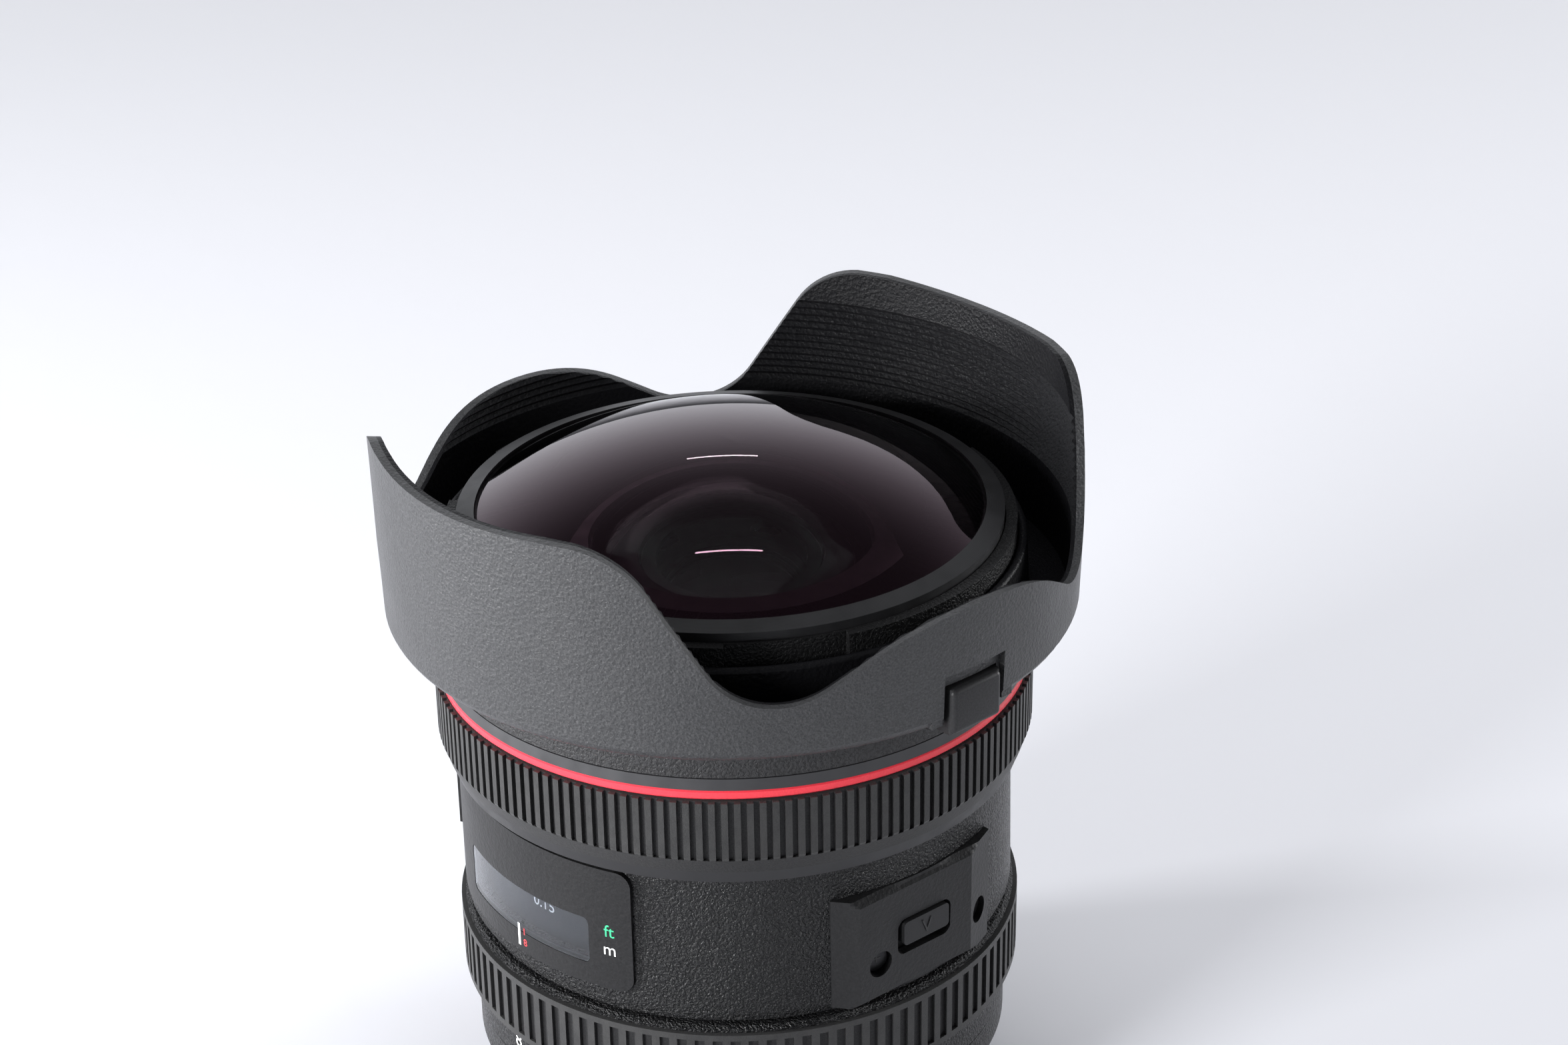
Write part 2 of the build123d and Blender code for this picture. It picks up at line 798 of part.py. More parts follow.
slot_width = slider_width + 2 * slot_side_gap
slot_height = slider_height + slider_travel + 2 * end_gap
foot_width = slot_width + 2 * slider_foot_overlap
foot_height = slider_height + 2 * slider_travel + 2 * end_gap
pad_face = window_barrel_radius + pad_rise
panel_inner_radius = plate_seat_radius + fit_gap
foot_face = sqrt(panel_inner_radius**2 - (foot_width / 2) ** 2) - fit_gap - slider_foot_thickness
panels = {
    "limit": (limit_panel_angle, shoulder_z - limit_panel_drop, limit_panel_height, limit_slot_drop),
    "mode": (mode_panel_angle, shoulder_z - mode_panel_drop, mode_panel_height, mode_slot_drop),
}
panel_recesses = [
    panel_plate(plate_seat_radius, plate_radius + overrun, top, height, angle, fit_gap)
    for angle, top, height, slot_drop in panels.values()
]
screw_places = []
for angle, top, height, slot_drop in panels.values():
    screw_drop = min(panel_screw_drop, height - panel_screw_head - end_gap)
    screw_places.append((angle - panel_screw_near_angle, top - screw_drop))
    screw_places.append((angle + panel_screw_far_angle, top - screw_drop))


def radial_rod(angle, height, radius, start, end, mode=Mode.ADD):
    """Adds or cuts a rod that points straight out from the optical axis."""
    with BuildSketch(facing(angle, start, height)) as rod:
        Circle(radius)
    extrude(rod.sketch, amount=end - start, mode=mode)


def radial_box(angle, low, high, half_width, start, end, mode=Mode.ADD):
    """Adds or cuts a block with one side square to the direction angle."""
    with BuildSketch(facing(angle, start, (low + high) / 2)) as block:
        Rectangle(2 * half_width, high - low)
    extrude(block.sketch, amount=end - start, mode=mode)


with BuildPart() as fixed_barrel:
    turn(
        [
            (low_barrel_bore_radius, seat_z),
            (low_barrel_radius, seat_z),
            (low_barrel_radius, zoom_top_z + end_gap),
            (groove_radius, zoom_top_z + end_gap),
            (groove_radius, barrel_step_z),
            (window_barrel_radius, barrel_step_z),
            (window_barrel_radius - window_barrel_taper, shoulder_z),
            (focus_barrel_radius, shoulder_z),
            (focus_barrel_radius, focus_top_z),
            (focus_barrel_bore_radius, focus_top_z),
            (focus_barrel_bore_radius, shoulder_z),
            (window_barrel_bore_radius, shoulder_z),
            (window_barrel_bore_radius, inner_step_z),
            (low_barrel_bore_radius, inner_step_z),
        ]
    )
    sector(
        low_barrel_bore_radius - overrun, low_barrel_radius + overrun, key_z - end_gap,
        key_z + key_height + end_gap, key_window_middle, key_window_half, mode=Mode.SUBTRACT,
    )
    sector(
        focus_barrel_bore_radius - overrun, focus_barrel_radius + overrun, drive_key_z - slide_gap,
        drive_key_z + drive_key_height + slide_gap, drive_key_angle + focus_turn / 2,
        focus_turn / 2 + drive_key_half_angle + key_margin, mode=Mode.SUBTRACT,
    )
    add(window_recess, mode=Mode.SUBTRACT)
    sector(
        window_barrel_bore_radius - overrun, plate_radius, glass_foot_z + glass_ledge,
        glass_top_z - glass_ledge, -90, glass_half_angle - glass_ledge_angle, mode=Mode.SUBTRACT,
    )
    for recess in panel_recesses:
        add(recess, mode=Mode.SUBTRACT)
    for angle, top, height, slot_drop in panels.values():
        slider_top = top - slot_drop - end_gap
        foot_top = slider_top + (foot_height - slider_height) / 2
        radial_box(
            angle, foot_top - foot_height - slider_travel - end_gap, foot_top + end_gap,
            foot_width / 2 + end_gap, window_barrel_bore_radius - overrun, plate_radius,
            mode=Mode.SUBTRACT,
        )
    for screw_angle, screw_z in screw_places:
        radial_rod(
            screw_angle, screw_z, panel_screw_radius + fit_gap, window_barrel_bore_radius - overrun,
            plate_radius, mode=Mode.SUBTRACT,
        )
fixed_barrel.part.label = "fixed_barrel"
export_step(fixed_barrel.part, "parts/fixed_barrel.step")

# Cam barrel: helical slots that move the front group and the zoom group
cam_middle_radius = (cam_bore_radius + cam_outer_radius) / 2
slot_end = degrees((roller_radius + end_gap) / cam_middle_radius)


def slot_width_along_axis(lead, radius):
    """A sloped slot is this high along the axis when it is one roller wide across."""
    slope = degrees(lead / radius)
    return 2 * slot_half * sqrt(1 + slope * slope)


front_slot = helical_slot(
    cam_bore_radius - overrun / 4, cam_outer_radius + overrun / 4,
    slot_width_along_axis(front_lead, cam_middle_radius),
    front_roller_z - front_travel_down - slot_end * front_lead,
    front_lead * (zoom_turn + 2 * slot_end), -(zoom_turn + 2 * slot_end),
    front_roller_angle + zoom_turn_back + slot_end,
)
zoom_slot = helical_slot(
    cam_bore_radius - overrun / 4, cam_outer_radius + overrun / 4,
    slot_width_along_axis(zoom_lead, cam_middle_radius),
    zoom_roller_z - zoom_travel_down - slot_end * zoom_lead,
    zoom_lead * (zoom_turn + 2 * slot_end), zoom_turn + 2 * slot_end,
    zoom_roller_angle - zoom_turn_on - slot_end,
)
with BuildPart() as cam_barrel:
    turn(band(cam_bore_radius, cam_outer_radius, cam_foot_z, cam_top_z))
    with PolarLocations(0, rollers):
        add(front_slot, mode=Mode.SUBTRACT)
        add(zoom_slot, mode=Mode.SUBTRACT)
    sector(
        cam_bore_radius - overrun / 4, cam_outer_radius + overrun / 4, cam_foot_z - overrun,
        key_z + key_height + fit_gap, key_angle, key_half_angle + degrees(fit_gap / cam_outer_radius),
        mode=Mode.SUBTRACT,
    )
cam_barrel.part.label = "cam_barrel"
export_step(cam_barrel.part, "parts/cam_barrel.step")

# Cam rollers, three to a group
leg_bore_radius = group_radius - leg_thickness
roller_end_radius = cam_outer_radius - running_gap
roller_sets = {
    "front_rollers": (front_roller_z, front_roller_angle),
    "zoom_rollers": (zoom_roller_z, zoom_roller_angle),
}
for name, (height, first_angle) in roller_sets.items():
    with BuildPart() as roller_set:
        for index in range(rollers):
            angle = first_angle + index * 360 / rollers
            radial_rod(angle, height, roller_radius, leg_bore_radius, roller_end_radius)
    roller_set.part.label = name
    export_step(roller_set.part, f"parts/{name}.step")

# Zoom ring: sleeve with the scale band, and the key that turns the cam barrel
zoom_lip_radius = zoom_bore_radius + zoom_lip_wall
with BuildPart() as zoom_ring:
    turn(
        [
            (zoom_bore_radius, zoom_foot_z),
            (zoom_scale_radius, zoom_foot_z),
            (zoom_scale_radius, zoom_grip_z - zoom_lip_height / 2),
            (zoom_sleeve_radius, zoom_grip_z),
            (zoom_sleeve_radius, zoom_lip_z),
            (zoom_lip_radius, zoom_lip_z),
            (zoom_lip_radius, zoom_top_z - zoom_lip_height / 2),
            (zoom_sleeve_radius, zoom_top_z),
            (zoom_bore_radius, zoom_top_z),
        ]
    )
    sector(
        cam_outer_radius - key_depth, zoom_scale_radius - zoom_scale_wall / 2, key_z, key_z + key_height,
        key_angle, key_half_angle,
    )
zoom_ring.part.label = "zoom_ring"
export_step(zoom_ring.part, "parts/zoom_ring.step")

# Zoom grip: rubber band with upright pockets
with BuildPart() as zoom_grip:
    turn(band(zoom_sleeve_radius + fit_gap, zoom_grip_radius, zoom_grip_z, zoom_lip_z - fit_gap))
    with Locations(Plane.XY.offset((zoom_grip_z + zoom_lip_z) / 2)):
        with PolarLocations(zoom_grip_radius, zoom_grooves):
            Box(
                2 * zoom_groove_depth, zoom_groove_width, zoom_lip_z - zoom_grip_z - 2 * zoom_groove_end,
                mode=Mode.SUBTRACT,
            )
zoom_grip.part.label = "zoom_grip"
export_step(zoom_grip.part, "parts/zoom_grip.step")

# Focus ring: metal sleeve with a drafted lip, and the key that turns the drive ring
focus_lip_radius = focus_bore_radius + focus_lip_wall
drive_notch_radius = motor_radius - drive_ring_depth / 2
with BuildPart() as focus_ring:
    turn(
        [
            (focus_bore_radius, focus_foot_z),
            (focus_lip_radius - focus_lip_draft, focus_foot_z),
            (focus_lip_radius, focus_grip_z - fit_gap),
            (focus_sleeve_radius, focus_grip_z - fit_gap),
            (focus_sleeve_radius, focus_top_z),
            (focus_bore_radius, focus_top_z),
        ]
    )
    sector(
        drive_notch_radius + fit_gap, focus_sleeve_radius - focus_sleeve_wall / 2, drive_key_z,
        drive_key_z + drive_key_height, drive_key_angle, drive_key_half_angle,
    )
focus_ring.part.label = "focus_ring"
export_step(focus_ring.part, "parts/focus_ring.step")

# Focus grip: rubber band with a smooth border and upright grooves above it
focus_groove_z = focus_grip_z + focus_border_height
with BuildPart() as focus_grip:
    turn(
        [
            (focus_sleeve_radius + fit_gap, focus_grip_z),
            (focus_grip_radius - focus_groove_depth - focus_border_draft / 2, focus_grip_z),
            (focus_grip_radius - focus_border_draft / 2, focus_groove_z),
            (focus_grip_radius, focus_groove_z + focus_border_draft),
            (focus_grip_radius, focus_top_z),
            (focus_sleeve_radius + fit_gap, focus_top_z),
        ]
    )
    with Locations(Plane.XY.offset((focus_groove_z + focus_top_z + overrun) / 2)):
        with PolarLocations(focus_grip_radius, focus_grooves):
            Box(
                2 * focus_groove_depth, focus_groove_width, focus_top_z + overrun - focus_groove_z,
                mode=Mode.SUBTRACT,
            )
focus_grip.part.label = "focus_grip"
export_step(focus_grip.part, "parts/focus_grip.step")

# Focus drive

# Drive ring, turned by the focus ring's key
with BuildPart() as drive_ring:
    turn(band(motor_bore_radius, motor_radius, drive_ring_z, drive_ring_z + drive_ring_height))
    sector(
        drive_notch_radius, motor_radius + overrun, drive_ring_z - overrun,
        drive_ring_z + drive_ring_height + overrun, drive_key_angle,
        drive_key_half_angle + degrees(fit_gap / motor_radius), mode=Mode.SUBTRACT,
    )
drive_ring.part.label = "drive_ring"
export_step(drive_ring.part, "parts/drive_ring.step")

# Roller ring: output of the differential between rotor and drive ring. Its sleeve has the
# helical slots that move the focus cell, and its flange carries the scale drum.
race_middle = (rotor_z + drive_ring_z + drive_ring_height) / 2
race_roller_radius = (rotor_z - drive_ring_z - drive_ring_height) / 2 - fit_gap
output_middle_radius = (output_bore_radius + output_radius) / 2
focus_slot_end = degrees((focus_pin_radius + end_gap) / output_middle_radius)
focus_slot = helical_slot(
    output_bore_radius - overrun / 4, output_radius + overrun / 4,
    slot_width_along_axis(focus_lead, output_middle_radius) * focus_pin_radius / roller_radius,
    focus_pin_z - focus_slot_end * focus_lead,
    focus_lead * (output_turn + 2 * focus_slot_end), -(output_turn + 2 * focus_slot_end),
    focus_pin_angle + focus_slot_end,
)
with BuildPart() as roller_ring:
    turn(band(output_bore_radius, output_radius, drum_top_z, focus_top_z - end_gap))
    turn(band(output_bore_radius, drum_radius, drum_top_z, drum_top_z + drum_flange_height))
    turn(band(output_bore_radius, motor_radius, race_z, race_z + race_height))
    for index in range(race_rollers):
        angle = index * 360 / race_rollers
        radial_rod(angle, race_middle, race_roller_radius, motor_bore_radius, motor_radius - slide_gap)
    with PolarLocations(0, rollers):
        add(focus_slot, mode=Mode.SUBTRACT)
roller_ring.part.label = "roller_ring"
export_step(roller_ring.part, "parts/roller_ring.step")

# Rotor ring, pressed against the stator
with BuildPart() as rotor_ring:
    turn(band(motor_bore_radius, motor_radius, rotor_z, stator_z))
rotor_ring.part.label = "rotor_ring"
export_step(rotor_ring.part, "parts/rotor_ring.step")

# Stator ring with its comb of teeth towards the rotor
with BuildPart() as stator_ring:
    turn(band(motor_bore_radius, motor_radius, stator_z, focus_top_z))
    with Locations(Plane.XY.offset(stator_z)):
        with PolarLocations((motor_bore_radius + motor_radius) / 2, stator_teeth):
            Box(
                2 * (motor_radius - motor_bore_radius), stator_tooth_gap, 2 * stator_tooth_depth,
                mode=Mode.SUBTRACT,
            )
stator_ring.part.label = "stator_ring"
export_step(stator_ring.part, "parts/stator_ring.step")

# Scale drum, carried under the roller ring's flange
with BuildPart() as scale_drum:
    turn(band(drum_bore_radius, drum_radius, drum_foot_z, drum_top_z))
scale_drum.part.label = "scale_drum"
export_step(scale_drum.part, "parts/scale_drum.step")

# Distance window: bent frame with a ledge that holds the clear window
glass_inner_radius = plate_radius - fit_gap - glass_thickness
window_pocket = curved_plate(
    glass_inner_radius - fit_gap, plate_radius + overrun, glass_foot_z, glass_top_z,
    -90, glass_half_angle, glass_corner,
)
with BuildPart() as window_panel:
    add(
        curved_plate(
            panel_inner_radius, plate_radius, window_foot_z, window_top_z,
            -90, window_half_angle, window_corner,
        )
    )
    add(window_pocket, mode=Mode.SUBTRACT)
    sector(
        panel_inner_radius - overrun, plate_radius + overrun, glass_foot_z + glass_ledge,
        glass_top_z - glass_ledge, -90, glass_half_angle - glass_ledge_angle, mode=Mode.SUBTRACT,
    )
window_panel.part.label = "window_panel"
export_step(window_panel.part, "parts/window_panel.step")

with BuildPart() as scale_window:
    add(
        curved_plate(
            glass_inner_radius, plate_radius - fit_gap, glass_foot_z + fit_gap, glass_top_z - fit_gap,
            -90, glass_half_angle - degrees(fit_gap / plate_radius), glass_corner,
        )
    )
scale_window.part.label = "scale_window"
export_step(scale_window.part, "parts/scale_window.step")

# Switch panels with their sliders: a bent plate, a raised flat pad with sloped shoulders,
# and a slot in which the slider runs, held behind by its wider foot
for name, (angle, top, height, slot_drop) in panels.items():
    slot_top = top - slot_drop
    slider_top = slot_top - end_gap
    slider_middle = slider_top - slider_height / 2
    with BuildPart() as panel:
        add(panel_plate(panel_inner_radius, window_barrel_radius, top, height, angle, 0))
        with BuildSketch(facing(angle, pad_face, top - height / 2)):
            RectangleRounded(2 * pad_half_width, height - 2 * pad_rise - 2 * end_gap, panel_corner)
        extrude(amount=panel_inner_radius - pad_face, taper=-30)
        radial_box(
            angle, slot_top - slot_height, slot_top, slot_width / 2, panel_inner_radius - overrun,
            pad_face + overrun, mode=Mode.SUBTRACT,
        )
        for side in (-panel_screw_near_angle, panel_screw_far_angle):
            screw_z = top - min(panel_screw_drop, height - panel_screw_head - end_gap)
            radial_rod(
                angle + side, screw_z, panel_screw_radius + fit_gap, panel_inner_radius - overrun,
                pad_face + overrun, mode=Mode.SUBTRACT,
            )
            radial_rod(
                angle + side, screw_z, panel_screw_head + slide_gap, panel_inner_radius + slide_gap,
                pad_face + overrun, mode=Mode.SUBTRACT,
            )
    panel.part.label = f"{name}_panel"
    export_step(panel.part, f"parts/{name}_panel.step")

    with BuildPart() as slider:
        radial_box(
            angle, slider_middle - foot_height / 2, slider_middle + foot_height / 2, foot_width / 2,
            foot_face, foot_face + slider_foot_thickness,
        )
        with BuildSketch(facing(angle, foot_face, slider_middle)):
            RectangleRounded(slider_width, slider_height, slider_corner)
        extrude(amount=pad_face + slider_rise - foot_face)
    slider.part.label = f"{name}_slider"
    export_step(slider.part, f"parts/{name}_slider.step")

# Small screws of the two switch panels, one node
with BuildPart() as panel_screws:
    for screw_angle, screw_z in screw_places:
        radial_rod(
            screw_angle, screw_z, panel_screw_head, panel_inner_radius + slide_gap,
            panel_inner_radius + slide_gap + panel_screw_thickness,
        )
        radial_rod(
            screw_angle, screw_z, panel_screw_radius, window_barrel_bore_radius,
            panel_inner_radius + slide_gap,
        )
panel_screws.part.label = "panel_screws"
export_step(panel_screws.part, "parts/panel_screws.step")

# Front barrel

# Name ring: the front barrel, with the grooves of the hood's bayonet and its latch
name_inner_step_z = bezel_foot_z - front_travel_down - end_gap
with BuildPart() as name_ring:
    turn(
        [
            (guide_bore_radius + slide_gap, focus_top_z),
            (neck_radius, focus_top_z),
            (neck_radius, name_z),
            (name_band_radius, name_z),
            (name_band_radius, name_step_z),
            (bayonet_radius, name_step_z),
            (bayonet_radius, latch_groove_z),
            (bayonet_radius - latch_groove_depth, latch_groove_z),
            (bayonet_radius - latch_groove_depth, latch_groove_z + latch_groove_width),
            (bayonet_radius, latch_groove_z + latch_groove_width),
            (bayonet_radius, bayonet_groove_z),
            (bayonet_radius - bayonet_groove_depth, bayonet_groove_z),
            (bayonet_radius - bayonet_groove_depth, bayonet_groove_z + bayonet_groove_width),
            (bayonet_radius, bayonet_groove_z + bayonet_groove_width),
            (bayonet_radius, name_top_z),
            (bezel_radius + bezel_bore_gap, name_top_z),
            (bezel_radius + bezel_bore_gap, name_inner_step_z),
            (name_bore_radius, name_inner_step_z),
            (name_bore_radius, focus_top_z + neck_flange_thickness),
            (guide_bore_radius + slide_gap, focus_top_z + neck_flange_thickness),
        ]
    )
    for index in range(lugs):
        middle = lug_start_angle + index * 360 / lugs + hood_twist
        sector(
            bayonet_radius - bayonet_groove_depth, bayonet_radius + overrun,
            bayonet_groove_z + bayonet_groove_width / 2, name_top_z + overrun, middle, entry_angle / 2,
            mode=Mode.SUBTRACT,
        )
name_ring.part.label = "name_ring"
export_step(name_ring.part, "parts/name_ring.step")

# Accent ring and trim ring, slid over the neck of the name ring
with BuildPart() as accent_ring:
    turn(
        [
            (neck_radius + fit_gap, accent_z),
            (accent_radius - accent_edge, accent_z),
            (accent_radius, accent_z + accent_edge),
            (accent_radius, trim_z - accent_edge),
            (accent_radius - accent_edge, trim_z),
            (neck_radius + fit_gap, trim_z),
        ]
    )
accent_ring.part.label = "accent_ring"
export_step(accent_ring.part, "parts/accent_ring.step")

with BuildPart() as trim_ring:
    turn(
        [
            (neck_radius + fit_gap, trim_z),
            (accent_radius - fit_gap, trim_z),
            (name_band_radius, trim_z + trim_height),
            (neck_radius + fit_gap, trim_z + trim_height),
        ]
    )
trim_ring.part.label = "trim_ring"
export_step(trim_ring.part, "parts/trim_ring.step")

# Front group

# Front bezel: screws on to the front cell and holds the front glass
cell_top_z = bezel_top_z - bezel_slope - bezel_lip - cell_rim_gap
with BuildPart() as front_bezel:
    turn(
        [
            (bezel_bore_radius, bezel_top_z - bezel_lip),
            (bezel_bore_radius, bezel_top_z),
            (bezel_radius, bezel_top_z - bezel_slope),
            (bezel_radius, bezel_foot_z),
            (cell_wall_radius + fit_gap, bezel_foot_z),
            (cell_wall_radius + fit_gap, bezel_top_z - bezel_lip - running_gap),
        ]
    )
front_bezel.part.label = "front_bezel"
export_step(front_bezel.part, "parts/front_bezel.step")

# Front glass: a deep dome outside, hollowed inside, standing on a flat ground seat
dome_edge_z = dome_top_z - sag(dome_radius, dome_edge_radius)
hollow_top_z = dome_top_z - dome_centre_thickness
hollow_centre_z = hollow_top_z - dome_hollow_radius
hollow_seat_radius = sqrt(dome_hollow_radius**2 - (dome_seat_z - hollow_centre_z) ** 2)
half_dome = dome_edge_radius / 2
half_hollow = hollow_seat_radius / 2
with BuildPart() as element_1:
    with BuildSketch(Plane.XZ):
        with BuildLine():
            crown = ThreePointArc(
                (0, dome_top_z), (half_dome, dome_top_z - sag(dome_radius, half_dome)),
                (dome_edge_radius, dome_edge_z),
            )
            hollow = ThreePointArc(
                (0, hollow_top_z), (half_hollow, hollow_top_z - sag(dome_hollow_radius, half_hollow)),
                (hollow_seat_radius, dome_seat_z),
            )
            Polyline(crown @ 1, (dome_edge_radius, dome_seat_z), hollow @ 1)
            Line(hollow @ 0, crown @ 0)
        make_face()
    revolve(axis=Axis.Z)
element_1.part.label = "element_1"
export_step(element_1.part, "parts/element_1.step")

# Front cell: carries the front group's glasses, and runs in the guide tube on three legs
front_cell_length = dome_seat_z - front_cell_z
with BuildPart() as front_cell:
    turn(
        [
            *cell_bore(front_glass_shares, front_cell_z, front_cell_length, cell_wall_radius),
            (dome_edge_radius + fit_gap, dome_seat_z),
            (dome_edge_radius + fit_gap, cell_top_z),
            (cell_wall_radius, cell_top_z),
            (cell_wall_radius, front_cell_z),
        ]
    )
    leg_foot_z = front_roller_z - roller_radius - leg_tail
    for index in range(rollers):
        angle = front_roller_angle + index * 360 / rollers
        sector(
            leg_bore_radius, group_radius, leg_foot_z, front_cell_z + front_cell_floor, angle,
            leg_half_angle,
        )
        radial_rod(
            angle, front_roller_z, roller_radius + fit_gap, leg_bore_radius - overrun,
            group_radius + overrun, mode=Mode.SUBTRACT,
        )
front_cell.part.label = "front_cell"
export_step(front_cell.part, "parts/front_cell.step")

for name, shares in front_glass_shares.items():
    lens = glass(shares, front_cell_z, front_cell_length, cell_wall_radius)
    lens.label = name
    export_step(lens, f"parts/{name}.step")

# Focus group

# Focus cell: three pads run in the guide tube between the legs, each with a cam pin
focus_cell_z = focus_pin_z - focus_cell_drop
pad_bore_radius = leg_bore_radius - focus_pad_thickness / 4
with BuildPart() as focus_cell:
    turn(
        [
            *cell_bore(focus_glass_shares, focus_cell_z, focus_cell_length, focus_cell_radius),
            (focus_cell_radius, focus_cell_z + focus_cell_length),
            (focus_cell_radius, focus_pin_z + focus_cell_web / 2),
            (pad_bore_radius, focus_pin_z + focus_cell_web / 2),
            (pad_bore_radius, focus_pin_z - focus_cell_web / 2),
            (focus_cell_radius, focus_pin_z - focus_cell_web / 2),
            (focus_cell_radius, focus_cell_z),
        ]
    )
    for index in range(rollers):
        angle = focus_pin_angle + index * 360 / rollers
        sector(
            pad_bore_radius - focus_cell_web, group_radius, focus_pin_z - focus_pad_height / 2,
            focus_pin_z + focus_pad_height / 2, angle, pad_half_angle,
        )
        radial_rod(
            angle, focus_pin_z, focus_pin_radius, group_radius - leg_thickness, output_radius - running_gap
        )
    with BuildSketch(Plane.XY.offset(focus_pin_z - focus_cell_web)):
        with PolarLocations((focus_cell_radius + pad_bore_radius) / 2, 2 * rollers):
            Circle((pad_bore_radius - focus_cell_radius) / 4)
    extrude(amount=2 * focus_cell_web, mode=Mode.SUBTRACT)
focus_cell.part.label = "focus_cell"
export_step(focus_cell.part, "parts/focus_cell.step")

for name, shares in focus_glass_shares.items():
    lens = glass(shares, focus_cell_z, focus_cell_length, focus_cell_radius)
    lens.label = name
    export_step(lens, f"parts/{name}.step")

# Zoom group

# Zoom cell: a long barrel of glasses, a web and sleeve with the rollers, and the iris seat
iris_rim_radius = iris_ring_radius + running_gap + iris_rim_wall
with BuildPart() as zoom_cell:
    turn(
        [
            *cell_bore(zoom_glass_shares, zoom_cell_foot, zoom_cell_length, zoom_barrel_radius),
            (iris_plate_radius + running_gap, iris_seat_z),
            (iris_plate_radius + running_gap, iris_ring_z - fit_gap),
            (iris_ring_radius + running_gap, iris_ring_z - fit_gap),
            (iris_ring_radius + running_gap, iris_seat_z + iris_rim_height),
            (iris_rim_radius, iris_seat_z + iris_rim_height),
            (iris_rim_radius, iris_seat_z - iris_seat_thickness),
            (zoom_barrel_radius, iris_seat_z - iris_seat_thickness),
            (zoom_barrel_radius, zoom_roller_z + zoom_cell_web / 2),
            (leg_bore_radius, zoom_roller_z + zoom_cell_web / 2),
            (leg_bore_radius, zoom_roller_z + zoom_sleeve_height / 2),
            (group_radius, zoom_roller_z + zoom_sleeve_height / 2),
            (group_radius, zoom_roller_z - zoom_sleeve_height / 2),
            (leg_bore_radius, zoom_roller_z - zoom_sleeve_height / 2),
            (leg_bore_radius, zoom_roller_z - zoom_cell_web / 2),
            (zoom_barrel_radius, zoom_roller_z - zoom_cell_web / 2),
            (zoom_barrel_radius, zoom_cell_foot),
        ]
    )
    for index in range(rollers):
        radial_rod(
            zoom_roller_angle + index * 360 / rollers, zoom_roller_z, roller_radius + fit_gap,
            leg_bore_radius - overrun / 2, group_radius + overrun, mode=Mode.SUBTRACT,
        )
    with BuildSketch(Plane.XY.offset(zoom_roller_z - zoom_cell_web)):
        with PolarLocations((zoom_barrel_radius + leg_bore_radius) / 2, 2 * rollers):
            Circle((leg_bore_radius - zoom_barrel_radius) / 4)
    extrude(amount=2 * zoom_cell_web, mode=Mode.SUBTRACT)
zoom_cell.part.label = "zoom_cell"
export_step(zoom_cell.part, "parts/zoom_cell.step")

for name, shares in zoom_glass_shares.items():
    lens = glass(shares, zoom_cell_foot, zoom_cell_length, zoom_barrel_radius)
    lens.label = name
    export_step(lens, f"parts/{name}.step")

# Iris plate, with one pivot hole for each blade
with BuildPart() as aperture_plate:
    turn(band(iris_bore_radius, iris_plate_radius, iris_seat_z, iris_seat_z + iris_plate_thickness))
    with BuildSketch(Plane.XY.offset(iris_seat_z)):
        with PolarLocations(pivot_circle_radius, blade_count):
            Circle(pivot_radius + fit_gap)
    extrude(amount=iris_plate_thickness, mode=Mode.SUBTRACT)
aperture_plate.part.label = "aperture_plate"
export_step(aperture_plate.part, "parts/aperture_plate.step")


def drive_pin_place(turned):
    """Where the first blade's drive pin is once the blade has turned on its pivot."""
    angle = radians(drive_arm_angle + turned)
    return pivot_circle_radius + drive_arm * cos(angle), drive_arm * sin(angle)


def slot_place(turned):
    """The same place seen from the iris ring, which turns further than the blade."""
    x, y = drive_pin_place(turned)
    return polar(sqrt(x * x + y * y), degrees(atan2(y, x)) - turned * iris_turn / blade_turn)


# Iris ring: each slot follows its blade's drive pin while ring and blade turn together
with BuildPart() as aperture_ring:
    turn(band(iris_ring_bore_radius, iris_ring_radius, iris_ring_z, iris_ring_z + iris_ring_thickness))
    with BuildSketch(Plane.XY.offset(iris_ring_z)):
        slot_path = ThreePointArc(slot_place(0), slot_place(blade_turn / 2), slot_place(blade_turn))
        with PolarLocations(0, blade_count):
            SlotArc(slot_path, 2 * (drive_pin_radius + running_gap))
    extrude(amount=iris_ring_thickness, mode=Mode.SUBTRACT)
aperture_ring.part.label = "aperture_ring"
export_step(aperture_ring.part, "parts/aperture_ring.step")

